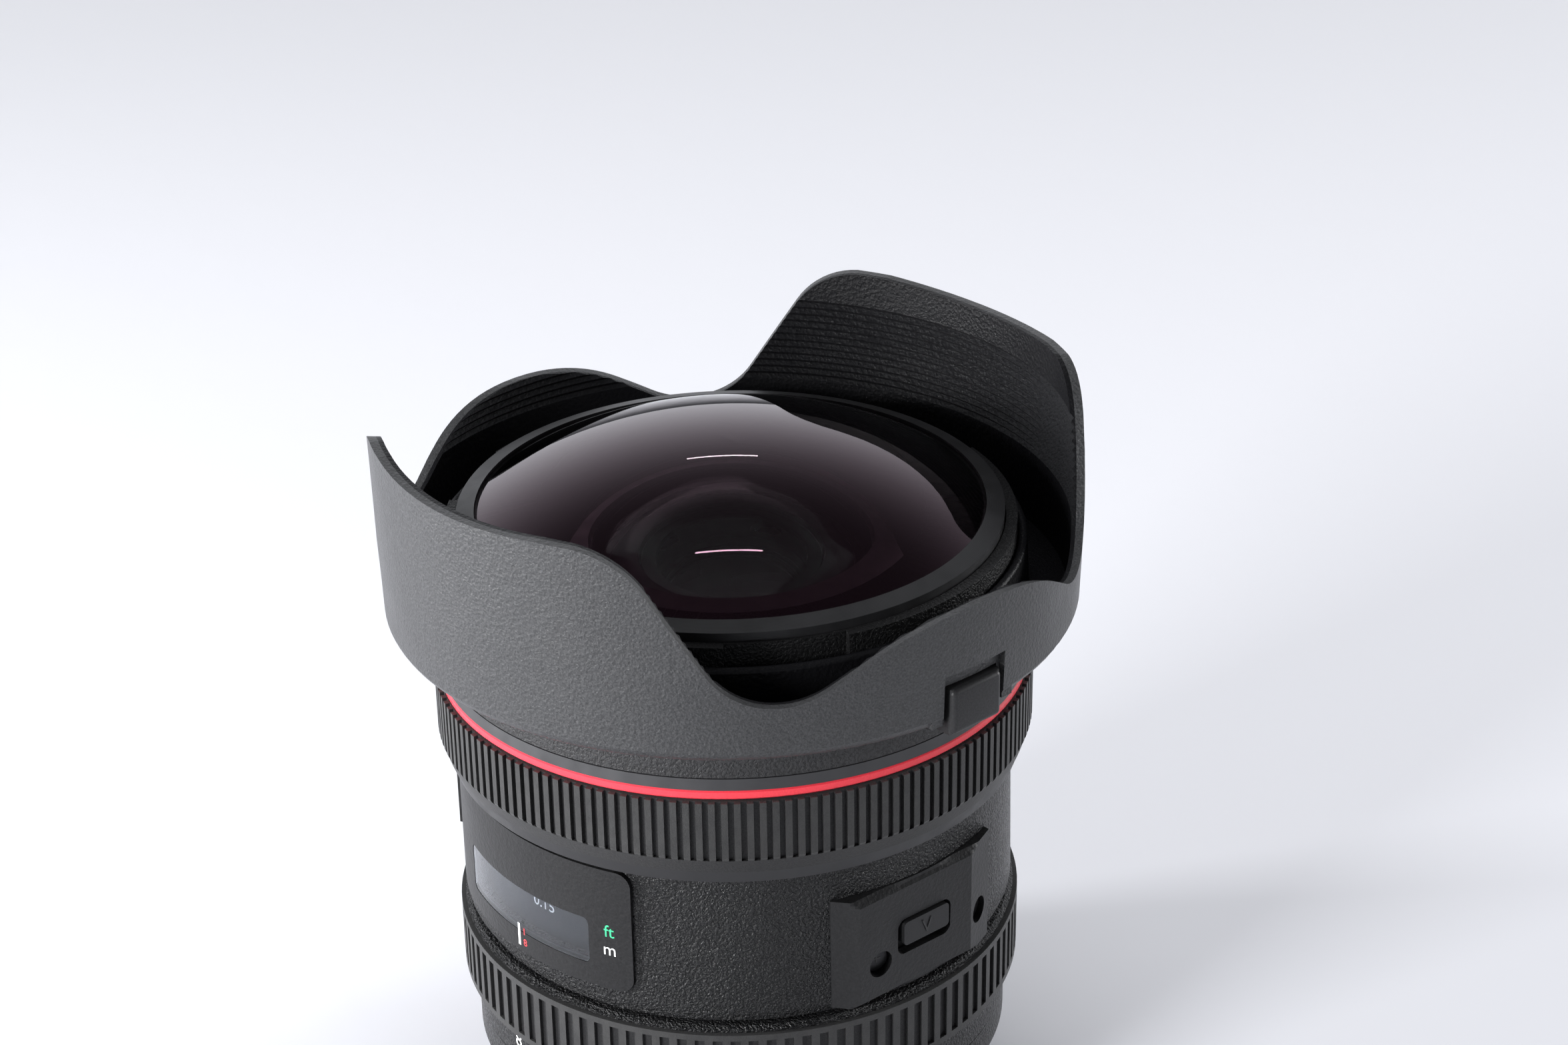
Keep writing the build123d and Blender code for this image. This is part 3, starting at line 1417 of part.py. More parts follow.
# Iris blades: each lies on its own level, with a pivot pin below and a drive pin above
blade_outer_radius = blade_inner_radius + blade_width
blade_tail_angle = 6.0
pin_x, pin_y = drive_pin_place(0)
for index in range(blade_count):
    level = iris_seat_z + iris_plate_thickness + fit_gap + index * blade_step
    with BuildPart() as blade:
        with BuildSketch(Plane.XY.offset(level)):
            with BuildLine():
                outer_edge = CenterArc((0, 0), blade_outer_radius, blade_tail_angle, blade_span)
                inner_edge = CenterArc((0, 0), blade_inner_radius, blade_tail_angle, blade_span)
                Line(outer_edge @ 0, inner_edge @ 0)
                Line(outer_edge @ 1, inner_edge @ 1)
            make_face()
            with Locations((pivot_circle_radius, 0), (pin_x, pin_y)):
                Circle(pivot_ear_radius)
            with BuildLine():
                Line((pivot_circle_radius - pivot_ear_radius, 0), (pin_x - pivot_ear_radius, pin_y))
                Line((pin_x - pivot_ear_radius, pin_y), (pin_x + pivot_ear_radius, pin_y))
                Line((pin_x + pivot_ear_radius, pin_y), (pivot_circle_radius + pivot_ear_radius, 0))
                Line((pivot_circle_radius + pivot_ear_radius, 0), (pivot_circle_radius - pivot_ear_radius, 0))
            make_face()
            with BuildLine():
                Polyline(
                    (pivot_circle_radius, -pivot_ear_radius), (pivot_circle_radius + pivot_ear_radius, 0),
                    outer_edge @ 0, inner_edge @ 0, close=True,
                )
            make_face()
        extrude(amount=blade_thickness)
        with BuildSketch(Plane.XY.offset(iris_seat_z + fit_gap)):
            with Locations((pivot_circle_radius, 0)):
                Circle(pivot_radius)
        extrude(amount=level - iris_seat_z)
        with BuildSketch(Plane.XY.offset(level)):
            with Locations((pin_x, pin_y)):
                Circle(drive_pin_radius)
        extrude(amount=iris_ring_z + iris_ring_thickness - running_gap - level)
    turned_blade = blade.part.rotate(Axis.Z, index * 360 / blade_count)
    turned_blade.label = f"blade_{index + 1}"
    export_step(turned_blade, f"parts/blade_{index + 1}.step")

# Iris motor: a small stepping motor under the iris seat
motor_x, motor_y = polar(zoom_barrel_radius + iris_motor_radius + slide_gap, iris_motor_angle)
with BuildPart() as aperture_motor:
    with BuildSketch(Plane.XY.offset(iris_seat_z - iris_seat_thickness)):
        with Locations((motor_x, motor_y)):
            Circle(iris_motor_radius)
    extrude(amount=-iris_motor_length)
aperture_motor.part.label = "aperture_motor"
export_step(aperture_motor.part, "parts/aperture_motor.step")

# Hood

# Petal outline of one quarter, drawn on a plane that faces out between two petals
hood_blank_z = name_step_z - hood_foot_drop
petal_plane = facing(-notch_direction, hood_rim_radius / 2)
trough_radius = (collar_radius + hood_waist_radius - hood_wall) / 2


def rim_point(petal_angle, drop):
    """A rim point from its angle past the tall petal's middle and its drop below the top."""
    return hood_rim_radius * sin(radians(petal_angle - notch_direction)), hood_top_z - drop


with BuildPart() as notch_cutter:
    with BuildSketch(petal_plane):
        with BuildLine():
            rim = FilletPolyline(
                rim_point(petal_flat_angle, -fit_gap),
                rim_point(petal_corner_angle, -fit_gap),
                rim_point(notch_in_angle, notch_drop),
                rim_point(notch_out_angle, notch_drop),
                rim_point(crest_angle, crest_drop),
                rim_point(90, crest_drop),
                radius=[petal_corner_radius, notch_in_radius, notch_out_radius, crest_radius],
            )
            high = hood_top_z + overrun
            Polyline(rim @ 1, ((rim @ 1).X, high), ((rim @ 0).X, high), rim @ 0)
        make_face()
    extrude(amount=hood_rim_radius / 2 + overrun)
    with Locations(Plane.XY.offset(hood_top_z)):
        Cylinder(trough_radius, 2 * hood_rise, mode=Mode.SUBTRACT)
notch_quarter = notch_cutter.part
notch_half = [notch_quarter, notch_quarter.mirror(Plane.YZ)]
notches = notch_half + [piece.mirror(Plane.XZ) for piece in notch_half]

hood_inner_top = hood_rim_radius - hood_wall
hood_inner_foot = hood_waist_radius - hood_wall
rib_base_z = name_step_z + hood_rib_rise
rib_lean = (hood_inner_top - hood_inner_foot) / hood_rise
rib_points = []
for index in reversed(range(hood_ribs)):
    rib_z = rib_base_z + index * hood_rib_pitch
    rib_radius = hood_inner_foot + rib_lean * (rib_z - hood_floor_z)
    rib_points.append((rib_radius, rib_z + hood_rib_pitch))
    rib_points.append((rib_radius + hood_rib_depth, rib_z + hood_rib_pitch / 2))
rib_points.append((hood_inner_foot + rib_lean * (rib_base_z - hood_floor_z), rib_base_z))

button_foot_z = hood_blank_z + button_foot_drop
button_top_z = button_foot_z + button_height
pocket_back = button_face_radius - button_depth - button_travel - button_gap
ear_front = button_face_radius - button_depth + button_ear_thickness
tongue_z = latch_groove_z + (latch_groove_width - tongue_height) / 2
housing_back = pocket_back - housing_wall
housing_top_z = button_top_z + button_gap + housing_wall
housing_half_width = button_half_width + button_ear + button_gap + housing_wall
ridge_z = name_step_z + collar_height - collar_ridge_radius

with BuildPart() as hood:
    with BuildSketch(Plane.XZ):
        with BuildLine():
            chin = Polyline(
                (hood_foot_radius, hood_blank_z), (chin_radius, name_step_z + chin_rise),
                (cheek_radius, name_step_z + cheek_rise),
            )
            jaw = ThreePointArc(
                chin @ 1, (jaw_radius, name_step_z + jaw_rise),
                (hood_belly_radius, name_step_z + hood_belly_rise),
            )
            Polyline(
                jaw @ 1, (hood_waist_radius, name_step_z + hood_waist_rise),
                (hood_rim_radius, hood_top_z), (hood_inner_top, hood_top_z), *rib_points,
                (hood_inner_foot, hood_floor_z), (collar_radius, hood_floor_z),
                (collar_bore_radius + 2 * collar_ridge_radius, ridge_z),
            )
            ridge = ThreePointArc(
                (collar_bore_radius + 2 * collar_ridge_radius, ridge_z),
                (collar_bore_radius + collar_ridge_radius, name_step_z + collar_height),
                (collar_bore_radius, ridge_z),
            )
            Polyline(
                ridge @ 1, (collar_bore_radius, name_step_z + slide_gap),
                (hood_foot_radius, name_step_z + slide_gap), (hood_foot_radius, hood_blank_z),
            )
        make_face()
    revolve(axis=Axis.Z)
    for notch in notches:
        add(notch, mode=Mode.SUBTRACT)
    with BuildSketch(Plane.XZ) as dip:
        with Locations((0, hood_top_z - petal_dip + petal_dip_radius)):
            Circle(petal_dip_radius)
    extrude(dip.sketch, amount=hood_rim_radius + overrun, both=True, mode=Mode.SUBTRACT)
    radial_box(
        0, hood_floor_z - slide_gap, housing_top_z, housing_half_width, housing_back,
        hood_inner_foot + hood_wall / 2,
    )
    for index in range(lugs):
        middle = lug_start_angle + index * 360 / lugs
        lug_z = bayonet_groove_z + (bayonet_groove_width - hood_lug_thickness) / 2
        sector(
            collar_bore_radius - hood_lug_reach, collar_bore_radius + collar_wall / 2, lug_z,
            lug_z + hood_lug_thickness, middle, hood_lug_angle / 2,
        )
    sector(
        hood_belly_radius - button_recess_depth, hood_rim_radius + overrun, hood_blank_z - overrun,
        button_top_z + button_recess_rise, 0, button_recess_angle, mode=Mode.SUBTRACT,
    )
    radial_box(
        0, hood_blank_z - overrun, button_top_z + button_gap, button_half_width + button_ear + button_gap,
        pocket_back, ear_front + button_gap, mode=Mode.SUBTRACT,
    )
    radial_box(
        0, hood_blank_z - overrun, button_top_z + button_gap, button_half_width + button_gap,
        pocket_back, hood_rim_radius + overrun, mode=Mode.SUBTRACT,
    )
    radial_box(
        0, tongue_z - button_gap, tongue_z + tongue_height + button_gap, tongue_half_width + button_gap,
        bayonet_radius - overrun, pocket_back + overrun / 2, mode=Mode.SUBTRACT,
    )
hood.part.label = "hood"
export_step(hood.part, "parts/hood.step")

# Release button: its tongue reaches through the collar to the latch groove
spring_z = (button_foot_z + button_top_z) / 2 + tongue_height
button_back = button_face_radius - button_depth
with BuildPart() as hood_button:
    radial_box(0, button_foot_z, button_top_z, button_half_width, button_back, button_face_radius)
    fillet(hood_button.faces().sort_by(Axis.X)[-1].edges(), radius=button_edge)
    radial_box(
        0, button_foot_z, button_top_z, button_half_width + button_ear, button_back,
        button_back + button_ear_thickness,
    )
    radial_box(0, tongue_z, tongue_z + tongue_height, tongue_half_width, tooth_radius, ear_front)
    radial_rod(
        0, spring_z, spring_radius + slide_gap, button_back - overrun, button_back + spring_seat_depth,
        mode=Mode.SUBTRACT,
    )
hood_button.part.label = "hood_button"
export_step(hood_button.part, "parts/hood_button.step")

# Coil spring between the housing and the button
spring_start = pocket_back + spring_wire + fit_gap
spring_length = button_back + spring_seat_depth - spring_wire - fit_gap - spring_start
spring_path = Helix(
    pitch=spring_length / spring_turns, height=spring_length, radius=spring_radius - spring_wire,
    center=(spring_start, 0, spring_z), direction=(1, 0, 0),
)
with BuildPart() as hood_spring:
    with BuildSketch(Plane(origin=spring_path @ 0, z_dir=spring_path % 0)):
        Circle(spring_wire)
    sweep(path=spring_path, is_frenet=True)
hood_spring.part.label = "hood_spring"
export_step(hood_spring.part, "parts/hood_spring.step")
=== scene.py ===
import math

import bmesh
import bpy
from mathutils import Matrix, Vector


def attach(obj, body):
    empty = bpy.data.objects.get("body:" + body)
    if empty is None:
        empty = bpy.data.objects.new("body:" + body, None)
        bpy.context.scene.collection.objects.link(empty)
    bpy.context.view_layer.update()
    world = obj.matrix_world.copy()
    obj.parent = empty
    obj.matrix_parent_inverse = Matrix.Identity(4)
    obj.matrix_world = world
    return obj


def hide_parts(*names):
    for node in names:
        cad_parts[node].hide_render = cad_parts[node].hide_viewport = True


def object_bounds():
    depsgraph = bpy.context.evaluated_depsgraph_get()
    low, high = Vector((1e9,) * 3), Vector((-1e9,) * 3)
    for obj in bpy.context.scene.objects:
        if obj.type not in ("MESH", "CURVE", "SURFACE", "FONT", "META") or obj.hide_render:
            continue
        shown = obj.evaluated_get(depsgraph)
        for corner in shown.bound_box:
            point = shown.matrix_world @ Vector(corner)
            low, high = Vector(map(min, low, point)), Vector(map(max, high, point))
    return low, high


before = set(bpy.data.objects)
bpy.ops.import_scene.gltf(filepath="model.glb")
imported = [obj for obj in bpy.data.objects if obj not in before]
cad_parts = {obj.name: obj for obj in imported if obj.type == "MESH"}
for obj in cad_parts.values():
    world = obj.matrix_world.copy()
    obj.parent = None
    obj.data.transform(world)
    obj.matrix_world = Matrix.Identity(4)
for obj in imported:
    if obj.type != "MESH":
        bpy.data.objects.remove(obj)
cad_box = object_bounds()
mm = 0.001

# The camera stands high on the front left of the lens, where the photograph was taken from:
# 73 mm on a full frame, tipped 26.5 degrees down, with no shift and no depth of field.
camera_place = (279.7 * mm, -234.7 * mm, 261.4 * mm)
camera_azimuth = 50.0
camera_yaw = 1.07
camera_tip = 26.5
camera_roll = -0.93
camera_lens = 72.95

camera_data = bpy.data.cameras.new("camera")
camera_data.lens = camera_lens
camera_data.sensor_width = 36.0
camera_data.clip_start = 0.01
camera = bpy.data.objects.new("camera", camera_data)
bpy.context.collection.objects.link(camera)
heading = math.radians(camera_azimuth - camera_yaw)
turn_to_lens = Matrix.Rotation(heading, 3, "Z")
tip_down = Matrix.Rotation(math.radians(90 - camera_tip), 3, "X")
roll_over = Matrix.Rotation(math.radians(camera_roll), 3, "Z")
camera.matrix_world = Matrix.Translation(camera_place) @ (turn_to_lens @ tip_down @ roll_over).to_4x4()
bpy.context.scene.camera = camera
bpy.context.scene.view_settings.view_transform = "Standard"


def new_material(name):
    """A material with its nodes, its main shader and its output, ready to be given detail."""
    material = bpy.data.materials.new(name)
    material.use_nodes = True
    nodes, links = material.node_tree.nodes, material.node_tree.links
    return material, nodes, links, nodes["Principled BSDF"]


def link_new(name, mesh):
    piece = bpy.data.objects.new(name, mesh)
    bpy.context.collection.objects.link(piece)
    return piece


# The table is a flat pale sheet under the lens. It takes a soft shadow, and anything that looks straight at
# it or mirrors it sees a plain bluish white.
table_gap = 0.05 * mm
table_height = cad_box[0][2] - table_gap
table_colour = (0.62, 0.625, 0.65, 1)
table_colour_seen = (0.84, 0.85, 0.905, 1)
table_colour_far = (0.87, 0.885, 0.935, 1)
sheet_reach = 3.0
sheet_mesh = bpy.data.meshes.new("table")
sheet_mesh.from_pydata(
    [(-sheet_reach, -sheet_reach, table_height), (sheet_reach, -sheet_reach, table_height),
     (sheet_reach, sheet_reach, table_height), (-sheet_reach, sheet_reach, table_height)],
    [], [(0, 1, 2, 3)])
table = link_new("table", sheet_mesh)
table_paint, nodes, links, shader = new_material("table_paint")
shader.inputs["Roughness"].default_value = 0.9
shader.inputs["Specular IOR Level"].default_value = 0.1
table_rays = nodes.new("ShaderNodeLightPath")
table_tone = nodes.new("ShaderNodeMix")
table_tone.data_type = "RGBA"
table_tone.inputs["A"].default_value = table_colour_seen
table_tone.inputs["B"].default_value = table_colour
links.new(table_rays.outputs["Is Diffuse Ray"], table_tone.inputs["Factor"])
links.new(table_tone.outputs["Result"], shader.inputs["Base Color"])
table_mesh_noise = nodes.new("ShaderNodeTexNoise")
table_mesh_noise.inputs["Scale"].default_value = 400
table_bump = nodes.new("ShaderNodeBump")
table_bump.inputs["Strength"].default_value = 0.05
links.new(table_mesh_noise.outputs["Fac"], table_bump.inputs["Height"])
links.new(table_bump.outputs["Normal"], shader.inputs["Normal"])

# Far from the lens, where the lamps no longer reach, the camera sees the sheet glow as pale as
# the studio round it.
table_place = nodes.new("ShaderNodeTexCoord")
table_far = nodes.new("ShaderNodeVectorMath")
table_far.operation = "LENGTH"
links.new(table_place.outputs["Object"], table_far.inputs[0])
table_fade = nodes.new("ShaderNodeMapRange")
table_fade.interpolation_type = "SMOOTHSTEP"
table_fade.inputs["From Min"].default_value = 0.3
table_fade.inputs["From Max"].default_value = 1.1
links.new(table_far.outputs["Value"], table_fade.inputs["Value"])
table_fade_seen = nodes.new("ShaderNodeMath")
table_fade_seen.operation = "MULTIPLY"
links.new(table_fade.outputs["Result"], table_fade_seen.inputs[0])
links.new(table_rays.outputs["Is Camera Ray"], table_fade_seen.inputs[1])
table_glow = nodes.new("ShaderNodeEmission")
table_glow.inputs["Color"].default_value = table_colour_far
table_surface = nodes.new("ShaderNodeMixShader")
links.new(table_fade_seen.outputs[0], table_surface.inputs[0])
links.new(shader.outputs[0], table_surface.inputs[1])
links.new(table_glow.outputs[0], table_surface.inputs[2])
links.new(table_surface.outputs[0], nodes["Material Output"].inputs["Surface"])
sheet_mesh.materials.append(table_paint)

# The studio round the lens is a white room. The camera sees its plain bluish white. Shiny parts
# mirror a pale band low down behind the lens and on both sides of it, under a dark ceiling.
world = bpy.data.worlds.new("studio")
bpy.context.scene.world = world
world.use_nodes = True
sky = world.node_tree
sky.nodes.clear()


def sky_sum(operation, *values):
    """One sum on sky nodes' outputs or plain numbers."""
    step = sky.nodes.new("ShaderNodeMath")
    step.operation = operation
    for socket, value in zip(step.inputs, values):
        if isinstance(value, (int, float)):
            socket.default_value = value
        else:
            sky.links.new(value, socket)
    return step.outputs[0]


def sky_slope(value, low, high, result_low, result_high):
    """A smooth step between two values of an output."""
    slope = sky.nodes.new("ShaderNodeMapRange")
    slope.interpolation_type = "SMOOTHSTEP"
    sky.links.new(value, slope.inputs["Value"])
    slope.inputs["From Min"].default_value = low
    slope.inputs["From Max"].default_value = high
    slope.inputs["To Min"].default_value = result_low
    slope.inputs["To Max"].default_value = result_high
    return slope.outputs["Result"]


def sky_facing(direction):
    """How far a ray heads along a given direction, from -1 to 1."""
    product = sky.nodes.new("ShaderNodeVectorMath")
    product.operation = "DOT_PRODUCT"
    sky.links.new(ray_way, product.inputs[0])
    product.inputs[1].default_value = direction
    return product.outputs["Value"]


front_side = (0.77, -0.64, 0)
far_side = (-0.77, 0.64, 0)
left_of_lens = (-0.64, -0.77, 0)
right_of_lens = (0.64, 0.77, 0)
ceiling_level = 0.12
ray_way = sky.nodes.new("ShaderNodeTexCoord").outputs["Generated"]
ray_height = sky_facing((0, 0, 1))
low_band = sky_slope(ray_height, 0.1, 0.85, 1.0, 0.0)
behind = sky_slope(sky_facing(far_side), 0.1, 0.95, 0.0, 1.1)
in_front = sky_slope(sky_facing(front_side), 0.1, 0.9, 0.0, 0.5)
left_side = sky_slope(sky_facing(left_of_lens), 0.5, 0.98, 0.0, 1.8)
right_side = sky_slope(sky_facing(right_of_lens), 0.5, 0.98, 0.0, 1.3)
both_sides = sky_sum("ADD", sky_sum("ADD", left_side, right_side), in_front)
mirrored_band = sky_sum("MULTIPLY", sky_sum("ADD", behind, both_sides), low_band)
mirrored_level = sky_sum("ADD", mirrored_band, ceiling_level)
seen = sky.nodes.new("ShaderNodeBackground")
seen.inputs["Color"].default_value = (0.875, 0.892, 0.94, 1)
seen.inputs["Strength"].default_value = 1.0
mirrored = sky.nodes.new("ShaderNodeBackground")
mirrored.inputs["Color"].default_value = (0.93, 0.95, 1.0, 1)
sky.links.new(mirrored_level, mirrored.inputs["Strength"])
unseen = sky.nodes.new("ShaderNodeBackground")
unseen.inputs["Color"].default_value = (0.95, 0.97, 1.0, 1)
unseen.inputs["Strength"].default_value = 0.15
rays = sky.nodes.new("ShaderNodeLightPath")
choose_mirrored = sky.nodes.new("ShaderNodeMixShader")
choose_seen = sky.nodes.new("ShaderNodeMixShader")
sky_out = sky.nodes.new("ShaderNodeOutputWorld")
mirrored_ray = sky_sum("MAXIMUM", rays.outputs["Is Glossy Ray"], rays.outputs["Is Transmission Ray"])
sky.links.new(mirrored_ray, choose_mirrored.inputs[0])
sky.links.new(unseen.outputs[0], choose_mirrored.inputs[1])
sky.links.new(mirrored.outputs[0], choose_mirrored.inputs[2])
sky.links.new(rays.outputs["Is Camera Ray"], choose_seen.inputs[0])
sky.links.new(choose_mirrored.outputs[0], choose_seen.inputs[1])
sky.links.new(seen.outputs[0], choose_seen.inputs[2])
sky.links.new(choose_seen.outputs[0], sky_out.inputs[0])


def softbox(name, place, aim, size, power, mirrored_too=True):
    """A square soft lamp at a place, turned towards a point."""
    lamp_data = bpy.data.lights.new(name, "AREA")
    lamp_data.shape = "SQUARE"
    lamp_data.size = size
    lamp_data.energy = power
    lamp = bpy.data.objects.new(name, lamp_data)
    bpy.context.collection.objects.link(lamp)
    lamp.location = place
    lamp.rotation_euler = (Vector(aim) - Vector(place)).to_track_quat("-Z", "Y").to_euler()
    lamp.visible_glossy = mirrored_too
    lamp.visible_transmission = False
    return lamp


# A broad lamp hangs overhead, a little behind the lens. Three low ones stand round the front.
lens_middle = (0, 0, 50 * mm)
softbox("lamp_overhead", (-0.15, 0.2, 1.0), lens_middle, 0.6, 5.3, mirrored_too=False)
softbox("lamp_left", (-0.5, -0.7, 0.16), lens_middle, 0.14, 9.5)
softbox("lamp_right", (0.35, 0.85, 0.2), lens_middle, 0.25, 3.5)
softbox("lamp_front", (0.05, -0.9, 0.28), lens_middle, 0.3, 9.5)

# Two thin bright tubes hang across the ceiling. They leave the fine lines in the front glasses.
tube_aim = Vector((0, 0, 85 * mm))
tube_along = Vector(right_of_lens)
tube_width = 8 * mm
tubes = (((-0.25, 0.2, 0.95), 0.2, 0.1), ((-0.62, 0.5, 0.62), 0.16, 0.05))
for number, (place, length, power) in enumerate(tubes):
    tube = softbox(f"lamp_tube_{number}", place, tube_aim, tube_width, power)
    tube.data.shape = "RECTANGLE"
    tube.data.size_y = length
    tube_down = (tube_aim - tube.location).normalized()
    tube_across = tube_along.cross(tube_down).normalized()
    tube_axes = Matrix((-tube_across, tube_down.cross(tube_across), -tube_down))
    tube.rotation_euler = tube_axes.transposed().to_euler()

# The hood is moulded from black glass-filled plastic. Its outside comes out of a spark-eroded mould with a
# fine grain. Inside, between and on its ribs, it is coloured nearly black and made less shiny.
hood_grain = 0.24 * mm
hood_grain_depth = 0.075 * mm
hood_grey = (0.022, 0.0225, 0.024, 1)
hood_grey_light = (0.06, 0.061, 0.064, 1)
hood_inside_black = (0.006, 0.006, 0.007, 1)


def object_place(nodes):
    """Texture places in metres, fixed to the piece."""
    return nodes.new("ShaderNodeTexCoord").outputs["Object"]


def noise(nodes, links, place, size, detail=2.0, roughness=0.5):
    """A noise whose blotches are about the given size in metres."""
    texture = nodes.new("ShaderNodeTexNoise")
    texture.inputs["Scale"].default_value = 1.0 / size
    texture.inputs["Detail"].default_value = detail
    texture.inputs["Roughness"].default_value = roughness
    links.new(place, texture.inputs["Vector"])
    return texture.outputs["Fac"]


def ramp(nodes, links, value, stops):
    """A colour ramp through the given stops of position and colour."""
    band = nodes.new("ShaderNodeValToRGB")
    elements = band.color_ramp.elements
    elements[0].position, elements[0].color = stops[0]
    elements[1].position, elements[1].color = stops[-1]
    for position, colour in stops[1:-1]:
        elements.new(position).color = colour
    links.new(value, band.inputs["Fac"])
    return band.outputs["Color"]


def grey(level):
    return (level, level, level, 1)


def bump(nodes, links, height, depth, below=None):
    """A bump of the given depth in metres, on top of an earlier one if there is one."""
    relief = nodes.new("ShaderNodeBump")
    relief.inputs["Strength"].default_value = 1.0
    relief.inputs["Distance"].default_value = depth
    links.new(height, relief.inputs["Height"])
    if below is not None:
        links.new(below, relief.inputs["Normal"])
    return relief.outputs["Normal"]


def maths(nodes, links, operation, *values):
    """One sum on nodes' outputs or plain numbers."""
    step = nodes.new("ShaderNodeMath")
    step.operation = operation
    for socket, value in zip(step.inputs, values):
        if isinstance(value, (int, float)):
            socket.default_value = value
        else:
            links.new(value, socket)
    return step.outputs[0]


def mix_colour(nodes, links, share, first, second):
    """Blends two colours, each a plain colour or a node's output."""
    mixer = nodes.new("ShaderNodeMix")
    mixer.data_type = "RGBA"
    links.new(share, mixer.inputs["Factor"])
    for socket, colour in ((mixer.inputs["A"], first), (mixer.inputs["B"], second)):
        if isinstance(colour, tuple):
            socket.default_value = colour
        else:
            links.new(colour, socket)
    return mixer.outputs["Result"]


def axis_distance(nodes, links, place):
    """How far a point is from the optical axis, and how high it is, in metres."""
    parts = nodes.new("ShaderNodeSeparateXYZ")
    links.new(place, parts.inputs[0])
    flat = nodes.new("ShaderNodeCombineXYZ")
    links.new(parts.outputs["X"], flat.inputs["X"])
    links.new(parts.outputs["Y"], flat.inputs["Y"])
    length = nodes.new("ShaderNodeVectorMath")
    length.operation = "LENGTH"
    links.new(flat.outputs[0], length.inputs[0])
    return length.outputs["Value"], parts.outputs["Z"]


def grained(name, dark, light, grain, depth, roughness, specks=0.0):
    """A grained surface: two shades, a fine relief, and roughness that changes with the grain."""
    material, nodes, links, shader = new_material(name)
    place = object_place(nodes)
    fine = noise(nodes, links, place, grain, 3.0, 0.6)
    broad = noise(nodes, links, place, grain * 40, 2.0)
    colour = ramp(nodes, links, fine, [(0.35, dark), (0.7, light)])
    links.new(colour, shader.inputs["Base Color"])
    rough = ramp(nodes, links, broad, [(0.3, grey(roughness - 0.05)), (0.7, grey(roughness + 0.05))])
    links.new(rough, shader.inputs["Roughness"])
    relief = bump(nodes, links, fine, depth)
    if specks:
        cells = nodes.new("ShaderNodeTexVoronoi")
        cells.inputs["Scale"].default_value = 1.0 / (grain * 2.2)
        links.new(place, cells.inputs["Vector"])
        relief = bump(nodes, links, cells.outputs["Distance"], depth * specks, relief)
    links.new(relief, shader.inputs["Normal"])
    shader.inputs["Specular IOR Level"].default_value = 0.26
    return material, nodes, links, shader, place


hood_plastic, nodes, links, shader, place = grained(
    "hood_plastic", hood_grey, hood_grey_light, hood_grain, hood_grain_depth, 0.4, specks=0.8)
radius, height = axis_distance(nodes, links, place)
wall_lean = 0.0148
wall_foot = 43.9 * mm - 70 * mm * wall_lean
lean = maths(nodes, links, "MULTIPLY_ADD", height, wall_lean, wall_foot)
inner = maths(nodes, links, "LESS_THAN", radius, lean)
above_floor = maths(nodes, links, "GREATER_THAN", height, 70.3 * mm)
inside = maths(nodes, links, "MULTIPLY", inner, above_floor)
outside_colour = shader.inputs["Base Color"].links[0].from_socket
links.new(mix_colour(nodes, links, inside, outside_colour, hood_inside_black), shader.inputs["Base Color"])
shine = ramp(nodes, links, inside, [(0.0, grey(0.42)), (1.0, grey(0.14))])
links.new(shine, shader.inputs["Specular IOR Level"])


def dress(names, material):
    """Gives CAD pieces a material in place of the plain one that they come with."""
    for name in names:
        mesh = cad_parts[name].data
        mesh.materials.clear()
        mesh.materials.append(material)


dress(["hood"], hood_plastic)

# The release button is moulded from the same plastic, polished a little by the thumb. A coil
# spring of hard steel wire sits behind it.
button_plastic, nodes, links, shader, place = grained(
    "button_plastic", (0.018, 0.018, 0.019, 1), (0.03, 0.03, 0.032, 1), 0.25 * mm, 0.015 * mm, 0.42)
button_foot = 68.7 * mm
button_top = 74.85 * mm
button_back = 41.1 * mm
button_face = 45.3 * mm
button_half = 4.05 * mm
button_build = bmesh.new()
bmesh.ops.create_cube(button_build, size=1.0)
for vertex in button_build.verts:
    vertex.co = (
        button_back + (vertex.co.x + 0.5) * (button_face - button_back), vertex.co.y * 2 * button_half,
        button_foot + (vertex.co.z + 0.5) * (button_top - button_foot))
button_edge = 0.75 * mm
nearly_face = button_face - 0.1 * mm
rounded = [
    edge for edge in button_build.edges if max(vertex.co.x for vertex in edge.verts) > nearly_face]
bmesh.ops.bevel(
    button_build, geom=rounded, offset=button_edge, segments=5, profile=0.5, affect="EDGES")
button_mesh = bpy.data.meshes.new("button_cap")
button_build.to_mesh(button_mesh)
button_build.free()
for face in button_mesh.polygons:
    face.use_smooth = True
button_mesh.set_sharp_from_angle(angle=math.radians(40))
button_mesh.materials.append(button_plastic)
button_cap = link_new("button_cap", button_mesh)
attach(button_cap, "hood_button")
dress(["hood_button"], button_plastic)


